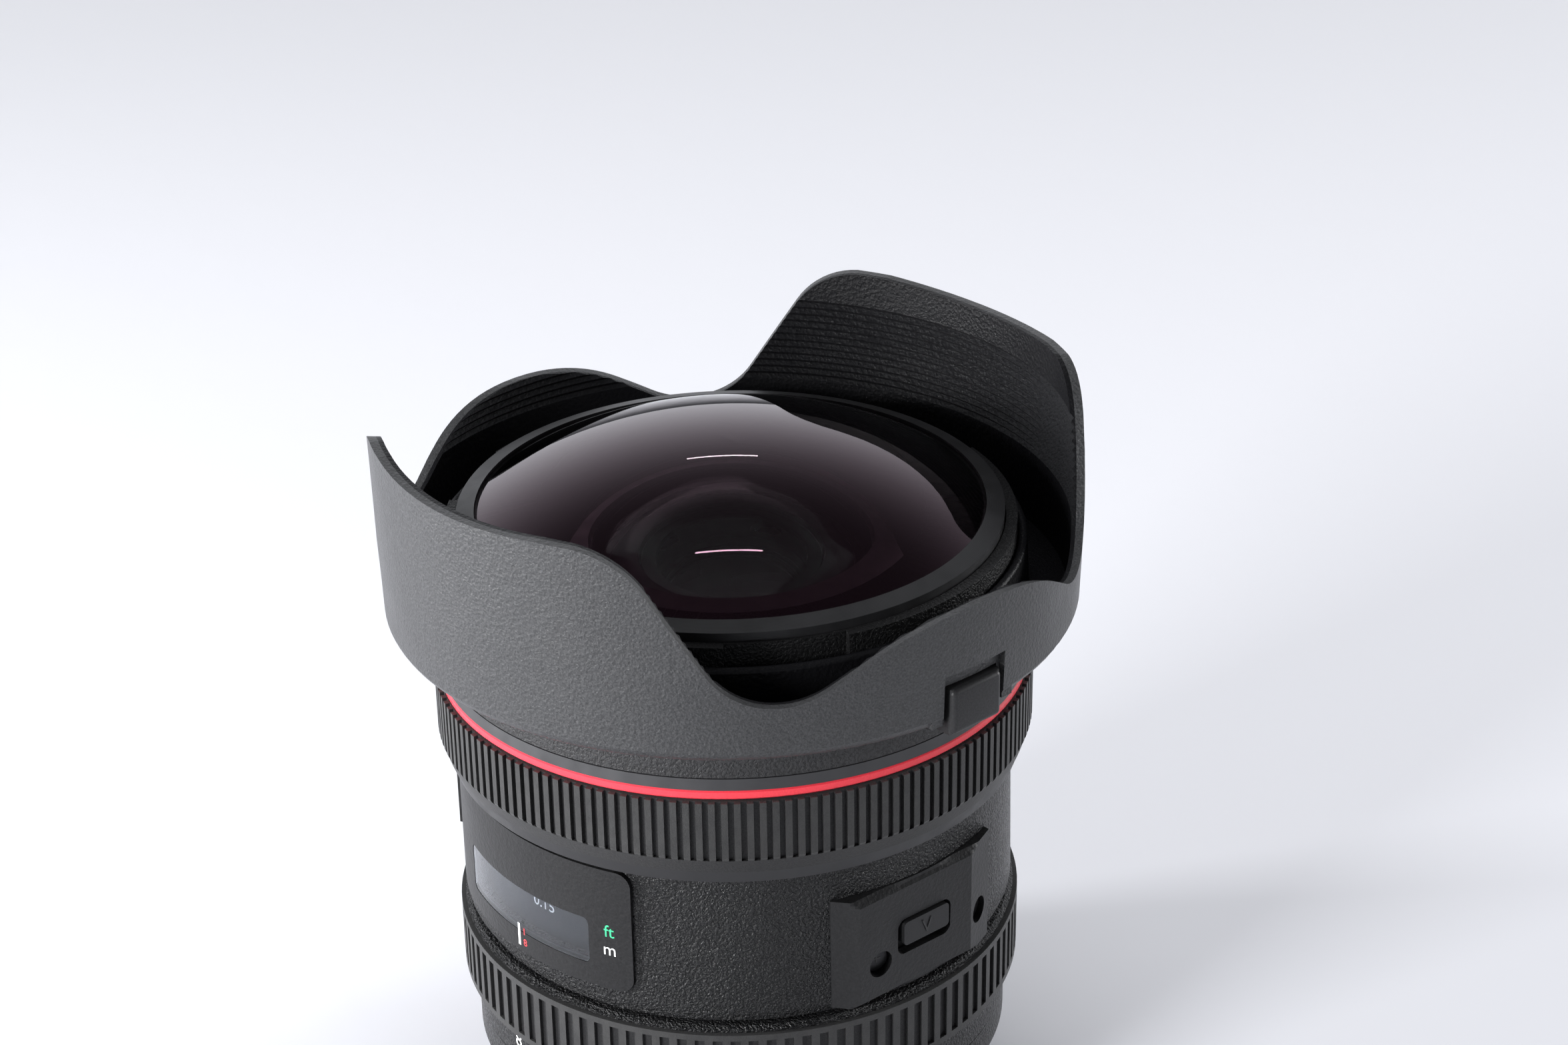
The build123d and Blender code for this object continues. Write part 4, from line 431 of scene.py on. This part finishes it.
def turned(name, colour, roughness, line_pitch, line_depth, metallic=1.0):
    """Metal turned on a lathe: fine rings round the optical axis and a faint uneven tone."""
    material, nodes, links, shader = new_material(name)
    place = object_place(nodes)
    radius, height = axis_distance(nodes, links, place)
    along = maths(nodes, links, "ADD", radius, height)
    lines = maths(nodes, links, "MULTIPLY", along, 2 * math.pi / line_pitch)
    wave = maths(nodes, links, "SINE", lines)
    ripple = maths(nodes, links, "MULTIPLY_ADD", wave, 0.5, 0.5)
    tone = noise(nodes, links, place, 3 * mm, 4.0)
    darker = tuple(channel * 0.82 for channel in colour[:3]) + (1,)
    links.new(ramp(nodes, links, tone, [(0.3, darker), (0.7, colour)]), shader.inputs["Base Color"])
    rough = ramp(nodes, links, tone, [(0.3, grey(roughness * 0.85)), (0.7, grey(roughness * 1.2))])
    links.new(rough, shader.inputs["Roughness"])
    shader.inputs["Metallic"].default_value = metallic
    links.new(bump(nodes, links, ripple, line_depth), shader.inputs["Normal"])
    return material


spring_steel = turned("spring_steel", (0.55, 0.55, 0.57, 1), 0.25, 0.05 * mm, 0.001 * mm)
dress(["hood_spring"], spring_steel)

# The front barrel is a turned aluminium part with a fine crinkle paint on its band, and plain
# satin black on the bayonet and on the step behind the front glass.
crinkle_size = 0.38 * mm
crinkle_depth = 0.17 * mm


def crinkle(name, dark, light, size, depth, roughness):
    """Crinkle paint: small joined blisters, a little shinier on their tops."""
    material, nodes, links, shader = new_material(name)
    place = object_place(nodes)
    swirl = noise(nodes, links, place, size, 2.0, 0.55)
    fine = noise(nodes, links, place, size / 3, 2.0)
    blister = ramp(nodes, links, swirl, [(0.38, grey(0.0)), (0.5, grey(0.65)), (0.62, grey(1.0))])
    colour = ramp(nodes, links, swirl, [(0.35, dark), (0.65, light)])
    links.new(colour, shader.inputs["Base Color"])
    rough = ramp(nodes, links, swirl, [(0.35, grey(roughness + 0.12)), (0.65, grey(roughness - 0.04))])
    links.new(rough, shader.inputs["Roughness"])
    relief = bump(nodes, links, blister, depth)
    relief = bump(nodes, links, fine, depth * 0.25, relief)
    links.new(relief, shader.inputs["Normal"])
    shader.inputs["Specular IOR Level"].default_value = 0.28
    return material, nodes, links, shader, place


crinkle_paint, nodes, links, shader, place = crinkle(
    "crinkle_paint", (0.006, 0.006, 0.0065, 1), (0.013, 0.013, 0.014, 1), crinkle_size, crinkle_depth, 0.28)
name_paint, nodes, links, shader, place = crinkle(
    "name_paint", (0.02, 0.02, 0.021, 1), (0.033, 0.033, 0.035, 1), crinkle_size, crinkle_depth * 0.45, 0.44)
radius, height = axis_distance(nodes, links, place)
bayonet_foot = 69.2 * mm
on_bayonet = maths(nodes, links, "GREATER_THAN", height, bayonet_foot)
paint_colour = shader.inputs["Base Color"].links[0].from_socket
bayonet_black = (0.008, 0.008, 0.0085, 1)
name_colour = mix_colour(nodes, links, on_bayonet, paint_colour, bayonet_black)
links.new(name_colour, shader.inputs["Base Color"])
dress(["name_ring"], name_paint)

# The front bezel is aluminium, anodised black after turning, so it shows fine rings. It holds
# the dome of glass, which is ground, polished and coated against flare: what the coating still
# mirrors is purple.
bezel_black = turned("bezel_black", (0.028, 0.028, 0.03, 1), 0.38, 0.16 * mm, 0.004 * mm, metallic=0.35)
dress(["front_bezel"], bezel_black)


def coated_glass(name, tint, sheen, index, roughness=0.0):
    """Clear optical glass whose coating tints what it mirrors."""
    material, nodes, links, shader = new_material(name)
    place = object_place(nodes)
    dust = noise(nodes, links, place, 0.4 * mm, 6.0, 0.7)
    shader.inputs["Base Color"].default_value = tint
    shader.inputs["Transmission Weight"].default_value = 1.0
    shader.inputs["IOR"].default_value = index
    dulled = ramp(nodes, links, dust, [(0.6, grey(roughness)), (0.85, grey(roughness + 0.01))])
    links.new(dulled, shader.inputs["Roughness"])
    shader.inputs["Specular Tint"].default_value = sheen
    return material, nodes, links, shader


front_index = 1.52
inner_index = 1.5
front_glass, nodes, links, shader = coated_glass(
    "front_glass", (0.8, 0.66, 0.72, 1), (1.0, 0.5, 0.72, 1), front_index)
crown_centre = (0, 0, 26.38 * mm)
crown_radius = 64.8 * mm
from_centre = nodes.new("ShaderNodeVectorMath")
from_centre.operation = "DISTANCE"
links.new(object_place(nodes), from_centre.inputs[0])
from_centre.inputs[1].default_value = crown_centre
on_crown = maths(nodes, links, "GREATER_THAN", from_centre.outputs["Value"], crown_radius)


def less_mirrored(nodes, links, shader, index, share):
    """Mixes in a glass that mirrors nothing, as the best coatings and blackened rims do."""
    plain = nodes.new("ShaderNodeBsdfRefraction")
    plain.inputs["IOR"].default_value = index
    plain.inputs["Color"].default_value = shader.inputs["Base Color"].default_value
    both = nodes.new("ShaderNodeMixShader")
    if isinstance(share, float):
        both.inputs[0].default_value = share
    else:
        links.new(share, both.inputs[0])
    links.new(plain.outputs[0], both.inputs[1])
    links.new(shader.outputs[0], both.inputs[2])
    links.new(both.outputs[0], nodes["Material Output"].inputs["Surface"])


less_mirrored(nodes, links, shader, front_index, on_crown)
inner_glass, nodes, links, shader = coated_glass(
    "inner_glass", (0.9, 0.94, 0.92, 1), (0.25, 0.9, 0.55, 1), inner_index)
less_mirrored(nodes, links, shader, inner_index, 0.35)
dress(["element_1"], front_glass)
dress(["element_2", "element_3", "focus_doublet", "focus_singlet", "element_7", "element_8",
       "doublet_9", "element_11", "doublet_12", "element_14"], inner_glass)

# The red ring is an aluminium band, sprayed red and clear lacquered. The ring above it is
# turned, anodised black and left satin.
red_paint, nodes, links, shader, place = grained(
    "red_paint", (0.9, 0.045, 0.07, 1), (1.0, 0.06, 0.085, 1), 0.2 * mm, 0.002 * mm, 0.34)
shader.inputs["Coat Weight"].default_value = 0.3
shader.inputs["Coat Roughness"].default_value = 0.2
dress(["accent_ring"], red_paint)
trim_black = turned("trim_black", (0.05, 0.05, 0.053, 1), 0.4, 0.12 * mm, 0.003 * mm, metallic=0.4)
dress(["trim_ring"], trim_black)

# The focusing ring is an anodised aluminium sleeve under a moulded rubber band. The zoom grip is of the same
# rubber. The tops of its ribs are greyed in patches, partly by handling and partly as a painted highlight.
ring_black = turned("ring_black", (0.022, 0.022, 0.024, 1), 0.42, 0.14 * mm, 0.003 * mm, metallic=0.25)
dress(["focus_ring"], ring_black)


def rubber(name, top_radius):
    """Moulded rubber: fine grain, and rib tops greyer in patches, partly rubbed by fingers and partly a
    painted highlight.
    """
    material, nodes, links, shader, place = grained(
        name, (0.01, 0.01, 0.011, 1), (0.024, 0.024, 0.025, 1), 0.22 * mm, 0.04 * mm, 0.48)
    radius, height = axis_distance(nodes, links, place)
    # The rib tops are greyed in patches, partly as wear and partly as a painted highlight.
    rubbed_and_lit_top = maths(nodes, links, "GREATER_THAN", radius, top_radius - 0.12 * mm)
    patches = noise(nodes, links, place, 2.5 * mm, 5.0, 0.65)
    rub_and_highlight = maths(nodes, links, "MULTIPLY", rubbed_and_lit_top, patches)
    base = shader.inputs["Base Color"].links[0].from_socket
    links.new(mix_colour(nodes, links, rub_and_highlight, base, (0.05, 0.05, 0.05, 1)), shader.inputs["Base Color"])
    shader.inputs["Sheen Weight"].default_value = 0.12
    shader.inputs["Sheen Roughness"].default_value = 0.45
    return material


dress(["focus_grip"], rubber("focus_rubber", 39.1 * mm))
dress(["zoom_grip"], rubber("zoom_rubber", 37.6 * mm))

# The fixed barrel is aluminium with a coarse crinkle paint. The rear barrel and the zoom
# ring's sleeve have the same paint.
dress(["fixed_barrel", "rear_barrel", "zoom_ring"], crinkle_paint)

# The distance window's frame is moulded with a sanded face. The drum behind it carries the
# distance scale, feet in green over metres in white. It turns at half the focusing ring's angle.
panel_plastic, nodes, links, shader, place = grained(
    "panel_plastic", (0.008, 0.008, 0.0085, 1), (0.015, 0.015, 0.016, 1), 0.3 * mm, 0.05 * mm, 0.4,
    specks=0.6)
dress(["window_panel"], panel_plastic)
window_clear, nodes, links, shader = coated_glass(
    "window_clear", (0.8, 0.84, 0.9, 1), (1, 1, 1, 1), 1.49, 0.02)
dress(["scale_window"], window_clear)
drum_black, nodes, links, shader, place = grained(
    "drum_black", (0.012, 0.013, 0.016, 1), (0.018, 0.019, 0.023, 1), 0.15 * mm, 0.004 * mm, 0.5)
dress(["scale_drum"], drum_black)


def print_ink(name, colour):
    """Printing ink: a thin opaque layer with a slight unevenness."""
    material, nodes, links, shader = new_material(name)
    place = object_place(nodes)
    mottle = noise(nodes, links, place, 0.15 * mm, 3.0)
    darker = tuple(channel * 0.86 for channel in colour[:3]) + (1,)
    links.new(ramp(nodes, links, mottle, [(0.3, darker), (0.6, colour)]), shader.inputs["Base Color"])
    shader.inputs["Roughness"].default_value = 0.45
    return material


white_ink = print_ink("white_ink", (0.85, 0.86, 0.87, 1))
green_ink = print_ink("green_ink", (0.05, 0.62, 0.28, 1))
red_ink = print_ink("red_ink", (0.8, 0.06, 0.07, 1))
ink_thickness = 0.02 * mm


def print_on_barrel(name, words, size, radius, angle, height, ink, body, slot):
    """Figures printed round a barrel: centred at an angle from the top line, at a height."""
    curve = bpy.data.curves.new(name, "FONT")
    curve.body = words
    curve.size = size
    curve.align_x = "CENTER"
    curve.align_y = "CENTER"
    curve.extrude = ink_thickness / 2
    curve.resolution_u = 6
    flat = bpy.data.objects.new(name + "_flat", curve)
    bpy.context.collection.objects.link(flat)
    bpy.context.view_layer.update()
    mesh = bpy.data.meshes.new_from_object(flat.evaluated_get(bpy.context.evaluated_depsgraph_get()))
    bpy.data.objects.remove(flat)
    for vertex in mesh.vertices:
        x, y, z = vertex.co
        around = math.radians(angle) + x / radius
        out = radius + z + ink_thickness / 2
        vertex.co = (out * math.sin(around), -out * math.cos(around), height + y)
    mesh.materials.append(ink)
    mesh.update()
    piece = link_new(name, mesh)
    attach(piece, body)
    return piece


def bent_strip(name, radius, angle_low, angle_high, low, high, ink, body, slot):
    """A thin strip that follows the barrel's curve, such as a printed line."""
    mesh = bpy.data.meshes.new(name)
    build = bmesh.new()
    steps = max(2, int(abs(angle_high - angle_low) / 2) + 1)
    rows = []
    for step in range(steps + 1):
        around = math.radians(angle_low + (angle_high - angle_low) * step / steps)
        row = []
        for out in (radius, radius + ink_thickness):
            for up in (low, high):
                row.append(build.verts.new((out * math.sin(around), -out * math.cos(around), up)))
        rows.append(row)
    for first, second in zip(rows, rows[1:]):
        for one, two in ((0, 1), (1, 3), (3, 2), (2, 0)):
            build.faces.new((first[one], first[two], second[two], second[one]))
    for row in (rows[0], rows[-1]):
        build.faces.new((row[0], row[1], row[3], row[2]))
    bmesh.ops.recalc_face_normals(build, faces=build.faces)
    build.to_mesh(mesh)
    build.free()
    mesh.materials.append(ink)
    piece = link_new(name, mesh)
    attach(piece, body)
    return piece


drum_radius = 34.7 * mm
metre_row = 38.3 * mm
foot_row = 41.2 * mm
metre_figures = (("0.15", 4.6), ("0.2", -21.0), ("0.3", -33.0), ("0.7", -44.0), ("1", -51.0), ("∞", -60.0))
foot_figures = (("0.5", 4.6), ("0.7", -21.0), ("1", -33.0), ("2", -44.0), ("4", -52.0))
for row_name, figures, size, row, ink in (
        ("metres", metre_figures, 2.3 * mm, metre_row, white_ink),
        ("feet", foot_figures, 1.9 * mm, foot_row, green_ink)):
    for number, (figure, angle) in enumerate(figures):
        print_on_barrel(
            f"{row_name}_{number}", figure, size, drum_radius, angle, row, ink, "focus_output", "black_metal")

# On the frame, a white index line stands under the clear window, with the unit letters at its
# right end and the red marks for the shortest focal length beside the line.
panel_radius = 37.0 * mm
on_frame = ("barrel", "black_plastic")
unit_size = 2.5 * mm
unit_angle = 23.6
bent_strip("index_line", panel_radius, -0.35, 0.35, 31.7 * mm, 35.0 * mm, white_ink, *on_frame)
print_on_barrel("unit_feet", "ft", unit_size, panel_radius, unit_angle, 39.4 * mm, green_ink, *on_frame)
print_on_barrel("unit_metres", "m", unit_size, panel_radius, unit_angle, 36.7 * mm, white_ink, *on_frame)
bent_strip("red_mark_line", panel_radius, 1.5, 1.75, 33.6 * mm, 34.6 * mm, red_ink, *on_frame)
print_on_barrel("red_mark_figure", "8", 1.5 * mm, panel_radius, 1.8, 32.4 * mm, red_ink, *on_frame)

# Each switch sits in a moulded plastic housing, bent to the barrel and held by two screws. Its
# flat face stands proud, with a steep slope at the left end and a gentle one at the right, a
# slot for the slider and two deep screw holes.
barrel_surface = 36.65 * mm
housing_back = 35.9 * mm
housing_face = 37.1 * mm
housing_half = 13.13 * mm
face_left = -10.7 * mm
face_right = 8.1 * mm
face_margin = 0.75 * mm
end_steepness = 1.19
right_steepness = 0.44
slot_half = 4.5 * mm
slot_corner = 1.3 * mm
screw_hole = 1.8 * mm
screw_sides = (-11.2, 16.0)
mesh_step = 0.4 * mm
cut_start = 33 * mm
slot_cut_end = 40 * mm
hole_cut_end = 41 * mm


def steps_between(low, high, step, *creases):
    """Even steps from low to high, with the creases among them."""
    count = max(2, round((high - low) / step))
    even = [low + (high - low) * number / count for number in range(count + 1)]
    return sorted(set(even + list(creases)))


def turned_point(out, side, up, sine, cosine):
    """The place that is out along a direction from the axis, sideways from it, and up."""
    return out * sine + side * cosine, -out * cosine + side * sine, up


def radial_prism(outline, angle, start, end):
    """A closed prism along the direction angle: the outline's points are sideways and up."""
    build = bmesh.new()
    sine, cosine = math.sin(math.radians(angle)), math.cos(math.radians(angle))
    rings = []
    for out in (start, end):
        rings.append([build.verts.new(turned_point(out, side, up, sine, cosine)) for side, up in outline])
    near, far = rings
    for one, two, three, four in zip(near, near[1:] + near[:1], far, far[1:] + far[:1]):
        build.faces.new((one, two, four, three))
    for ring in rings:
        build.faces.new(ring)
    bmesh.ops.recalc_face_normals(build, faces=build.faces)
    mesh = bpy.data.meshes.new("cutter")
    build.to_mesh(mesh)
    build.free()
    return link_new("cutter", mesh)


def switch_housing(name, node, angle, low, high, slot_low, slot_high, screw_height):
    """One switch housing, centred at an angle from the top line."""
    sides = steps_between(-housing_half, housing_half, mesh_step, face_left, face_right)
    heights = steps_between(low, high, mesh_step, low + face_margin, high - face_margin)
    sine, cosine = math.sin(math.radians(angle)), math.cos(math.radians(angle))
    build = bmesh.new()
    sheets = []
    for outer in (True, False):
        sheet = []
        for side in sides:
            row = []
            for up in heights:
                out = math.sqrt((barrel_surface if outer else housing_back) ** 2 - side ** 2)
                if outer:
                    past_edge = max(up - high + face_margin, low + face_margin - up)
                    beyond = max(0, face_left - side, past_edge)
                    fall = max(end_steepness * beyond, right_steepness * (side - face_right))
                    out = max(out, housing_face - fall)
                row.append(build.verts.new(turned_point(out, side, up, sine, cosine)))
            sheet.append(row)
        sheets.append(sheet)
        for first, second in zip(sheet, sheet[1:]):
            for step in range(len(heights) - 1):
                build.faces.new((first[step], first[step + 1], second[step + 1], second[step]))
    front, back = sheets
    rims = [(front[0], back[0]), (front[-1], back[-1])]
    for end in (0, -1):
        rims.append(([row[end] for row in front], [row[end] for row in back]))
    for outer_rim, inner_rim in rims:
        for one, two, three, four in zip(outer_rim, outer_rim[1:], inner_rim[1:], inner_rim):
            build.faces.new((one, two, three, four))
    bmesh.ops.recalc_face_normals(build, faces=build.faces)
    mesh = bpy.data.meshes.new(name + "_solid")
    build.to_mesh(mesh)
    build.free()
    solid = link_new(name + "_solid", mesh)
    corners = []
    middle, half = (slot_low + slot_high) / 2, (slot_high - slot_low) / 2
    for turn in range(0, 360, 15):
        towards = math.radians(turn)
        quarter = towards + 0.01
        side = math.copysign(slot_half - slot_corner, math.cos(quarter)) + slot_corner * math.cos(towards)
        rise = math.copysign(half - slot_corner, math.sin(quarter)) + slot_corner * math.sin(towards)
        corners.append((side, middle + rise))
    cutters = [radial_prism(corners, angle, cut_start, slot_cut_end)]
    ring = [math.radians(turn) for turn in range(0, 360, 12)]
    for turn in screw_sides:
        hole = [(screw_hole * math.cos(towards), screw_height + screw_hole * math.sin(towards))
                for towards in ring]
        cutters.append(radial_prism(hole, angle + turn, cut_start, hole_cut_end))
    for cutter in cutters:
        cut = solid.modifiers.new("cut", "BOOLEAN")
        cut.operation = "DIFFERENCE"
        cut.object = cutter
    bpy.context.view_layer.update()
    cut_solid = solid.evaluated_get(bpy.context.evaluated_depsgraph_get())
    housing_mesh = bpy.data.meshes.new_from_object(cut_solid)
    for spent in cutters + [solid]:
        bpy.data.objects.remove(spent)
    for face in housing_mesh.polygons:
        face.use_smooth = True
    housing_mesh.set_sharp_from_angle(angle=math.radians(18))
    housing_mesh.materials.clear()
    housing_mesh.materials.append(panel_plastic)
    housing = link_new(name, housing_mesh)
    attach(housing, "barrel")
    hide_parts(node)


limit_angle = 88.7
mode_angle = -60.0
limit_screw_height = 33.8 * mm
mode_screw_height = 37.8 * mm
switch_housing(
    "limit_housing", "limit_panel", limit_angle, 28.4 * mm, 44.2 * mm, 33.6 * mm, 38.8 * mm,
    limit_screw_height)
switch_housing(
    "mode_housing", "mode_panel", mode_angle, 35.9 * mm, 47.9 * mm, 39.7 * mm, 44.9 * mm,
    mode_screw_height)

# The sliders are moulded in a smoother black plastic. The limit slider has a small arrowhead cut in its face;
# the shade in the cut is painted as a thin black arrowhead.
slider_plastic, nodes, links, shader, place = grained(
    "slider_plastic", (0.013, 0.013, 0.014, 1), (0.019, 0.019, 0.02, 1), 0.2 * mm, 0.01 * mm, 0.36)
dress(["limit_slider", "mode_slider"], slider_plastic)
# Shade ink is painted shade: a near black laid where cuts and recesses lie in shadow.
shade_ink = print_ink("shade_ink", (0.002, 0.002, 0.002, 1))
slider_face = 37.66 * mm
# The arrowhead is painted shade: black ink where the cut would lie in shadow.
print_on_barrel(
    "limit_arrow_shade", "V", 2.9 * mm, slider_face, limit_angle, 36.6 * mm, shade_ink,
    "limit_slider", "black_plastic")

# Four blackened steel screws with cross recesses hold the two housings to the barrel, deep in
# their holes. The mount's screws and the cam rollers are turned from bright steel.
blackened = turned("blackened_steel", (0.03, 0.03, 0.032, 1), 0.35, 0.2 * mm, 0.003 * mm, metallic=0.8)
bright_steel = turned("bright_steel", (0.62, 0.62, 0.64, 1), 0.22, 0.1 * mm, 0.002 * mm)
dress(["panel_screws"], blackened)
# The screws' cross recesses are painted shade: black crosses laid on the screw faces.
screw_face = 36.63 * mm
screw_places = (
    (77.5, limit_screw_height), (104.7, limit_screw_height),
    (-71.2, mode_screw_height), (-44.0, mode_screw_height))
for number, (angle, height) in enumerate(screw_places):
    print_on_barrel(
        f"screw_cross_{number}", "+", 2.6 * mm, screw_face, angle, height, shade_ink,
        "barrel", "dark_screw")
dress(["mount_screws", "front_rollers", "zoom_rollers"], bright_steel)

# The zoom ring's painted sleeve has its focal lengths printed in white below the rubber. They
# are read against a short white line, printed on the rear barrel.
zoom_scale_radius = 36.05 * mm
zoom_scale_row = 14.5 * mm
for figure, angle in (("8", -5.0), ("10", 12.0), ("12", 28.0), ("14", 43.0), ("15", 51.0)):
    print_on_barrel(
        f"focal_{figure}", figure, 3.2 * mm, zoom_scale_radius, angle, zoom_scale_row, white_ink,
        "zoom_ring", "black_paint")
rear_barrel_radius = 35.95 * mm
bent_strip(
    "zoom_index", rear_barrel_radius, -0.4, 0.4, 9.2 * mm, 11.0 * mm, white_ink, "barrel", "black_paint")

# The mount is brass, plated with bright chrome and turned. Round it sits a thin black rubber
# seal, and in it a moulded black baffle with the contact block and the filter holder.
mount_chrome = turned("mount_chrome", (0.72, 0.73, 0.75, 1), 0.16, 0.12 * mm, 0.003 * mm)
dress(["mount_ring"], mount_chrome)
dress(["dust_seal"], rubber("seal_rubber", 60 * mm))
baffle_plastic, nodes, links, shader, place = grained(
    "baffle_plastic", (0.009, 0.009, 0.009, 1), (0.014, 0.014, 0.014, 1), 0.2 * mm, 0.01 * mm, 0.55)
dress(["rear_baffle"], baffle_plastic)
contact_plastic, nodes, links, shader, place = grained(
    "contact_plastic", (0.009, 0.009, 0.009, 1), (0.014, 0.014, 0.014, 1), 0.2 * mm, 0.01 * mm, 0.5)
radius, height = axis_distance(nodes, links, place)
pin_foot = -4.45 * mm
gold = (0.83, 0.6, 0.26, 1)
on_pin = maths(nodes, links, "LESS_THAN", height, pin_foot)
plastic_colour = shader.inputs["Base Color"].links[0].from_socket
links.new(mix_colour(nodes, links, on_pin, plastic_colour, gold), shader.inputs["Base Color"])
links.new(on_pin, shader.inputs["Metallic"])
dress(["contact_block"], contact_plastic)
anodised = turned("black_anodised", (0.006, 0.006, 0.0065, 1), 0.5, 0.15 * mm, 0.004 * mm, metallic=0.2)
dress(["filter_holder", "front_cell", "focus_cell", "zoom_cell", "aperture_plate", "aperture_ring"], anodised)
blade_black, nodes, links, shader, place = grained(
    "blade_black", (0.014, 0.014, 0.015, 1), (0.02, 0.02, 0.021, 1), 0.1 * mm, 0.002 * mm, 0.4)
dress([f"blade_{number}" for number in range(1, 8)], blade_black)

# A raised red dot on the rear barrel shows how to turn the lens when it is put on a camera. It
# is a moulded plastic pip, pressed into a hole.
dot_angle = math.radians(-60)
dot_height = 6.6 * mm
dot_radius = 1.3 * mm
dot_rise = 0.45 * mm
dot_mesh = bpy.data.meshes.new("mount_dot")
dot_build = bmesh.new()
bmesh.ops.create_uvsphere(dot_build, u_segments=32, v_segments=16, radius=1.0)
for vertex in dot_build.verts:
    side, out, up = vertex.co.x * dot_radius, vertex.co.y * dot_rise, vertex.co.z * dot_radius
    vertex.co = turned_point(
        rear_barrel_radius + out, side, dot_height + up, math.sin(dot_angle), math.cos(dot_angle))
dot_build.to_mesh(dot_mesh)
dot_build.free()
for face in dot_mesh.polygons:
    face.use_smooth = True
dot_mesh.materials.append(red_ink)
mount_dot = link_new("mount_dot", dot_mesh)
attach(mount_dot, "barrel")

# Inside, the guide tube, cam barrel and drive rings are turned aluminium, the motor's stator
# is brass, and the board is green lacquered.
tube_metal = turned("tube_metal", (0.4, 0.4, 0.42, 1), 0.3, 0.18 * mm, 0.004 * mm)
dress(["guide_tube", "cam_barrel", "roller_ring", "rotor_ring", "drive_ring", "aperture_motor"], tube_metal)
stator_brass = turned("stator_brass", (0.7, 0.52, 0.25, 1), 0.28, 0.15 * mm, 0.003 * mm)
dress(["stator_ring"], stator_brass)
board_lacquer, nodes, links, shader, place = grained(
    "board_lacquer", (0.01, 0.12, 0.05, 1), (0.015, 0.18, 0.07, 1), 0.5 * mm, 0.01 * mm, 0.35)
dress(["circuit_board"], board_lacquer)
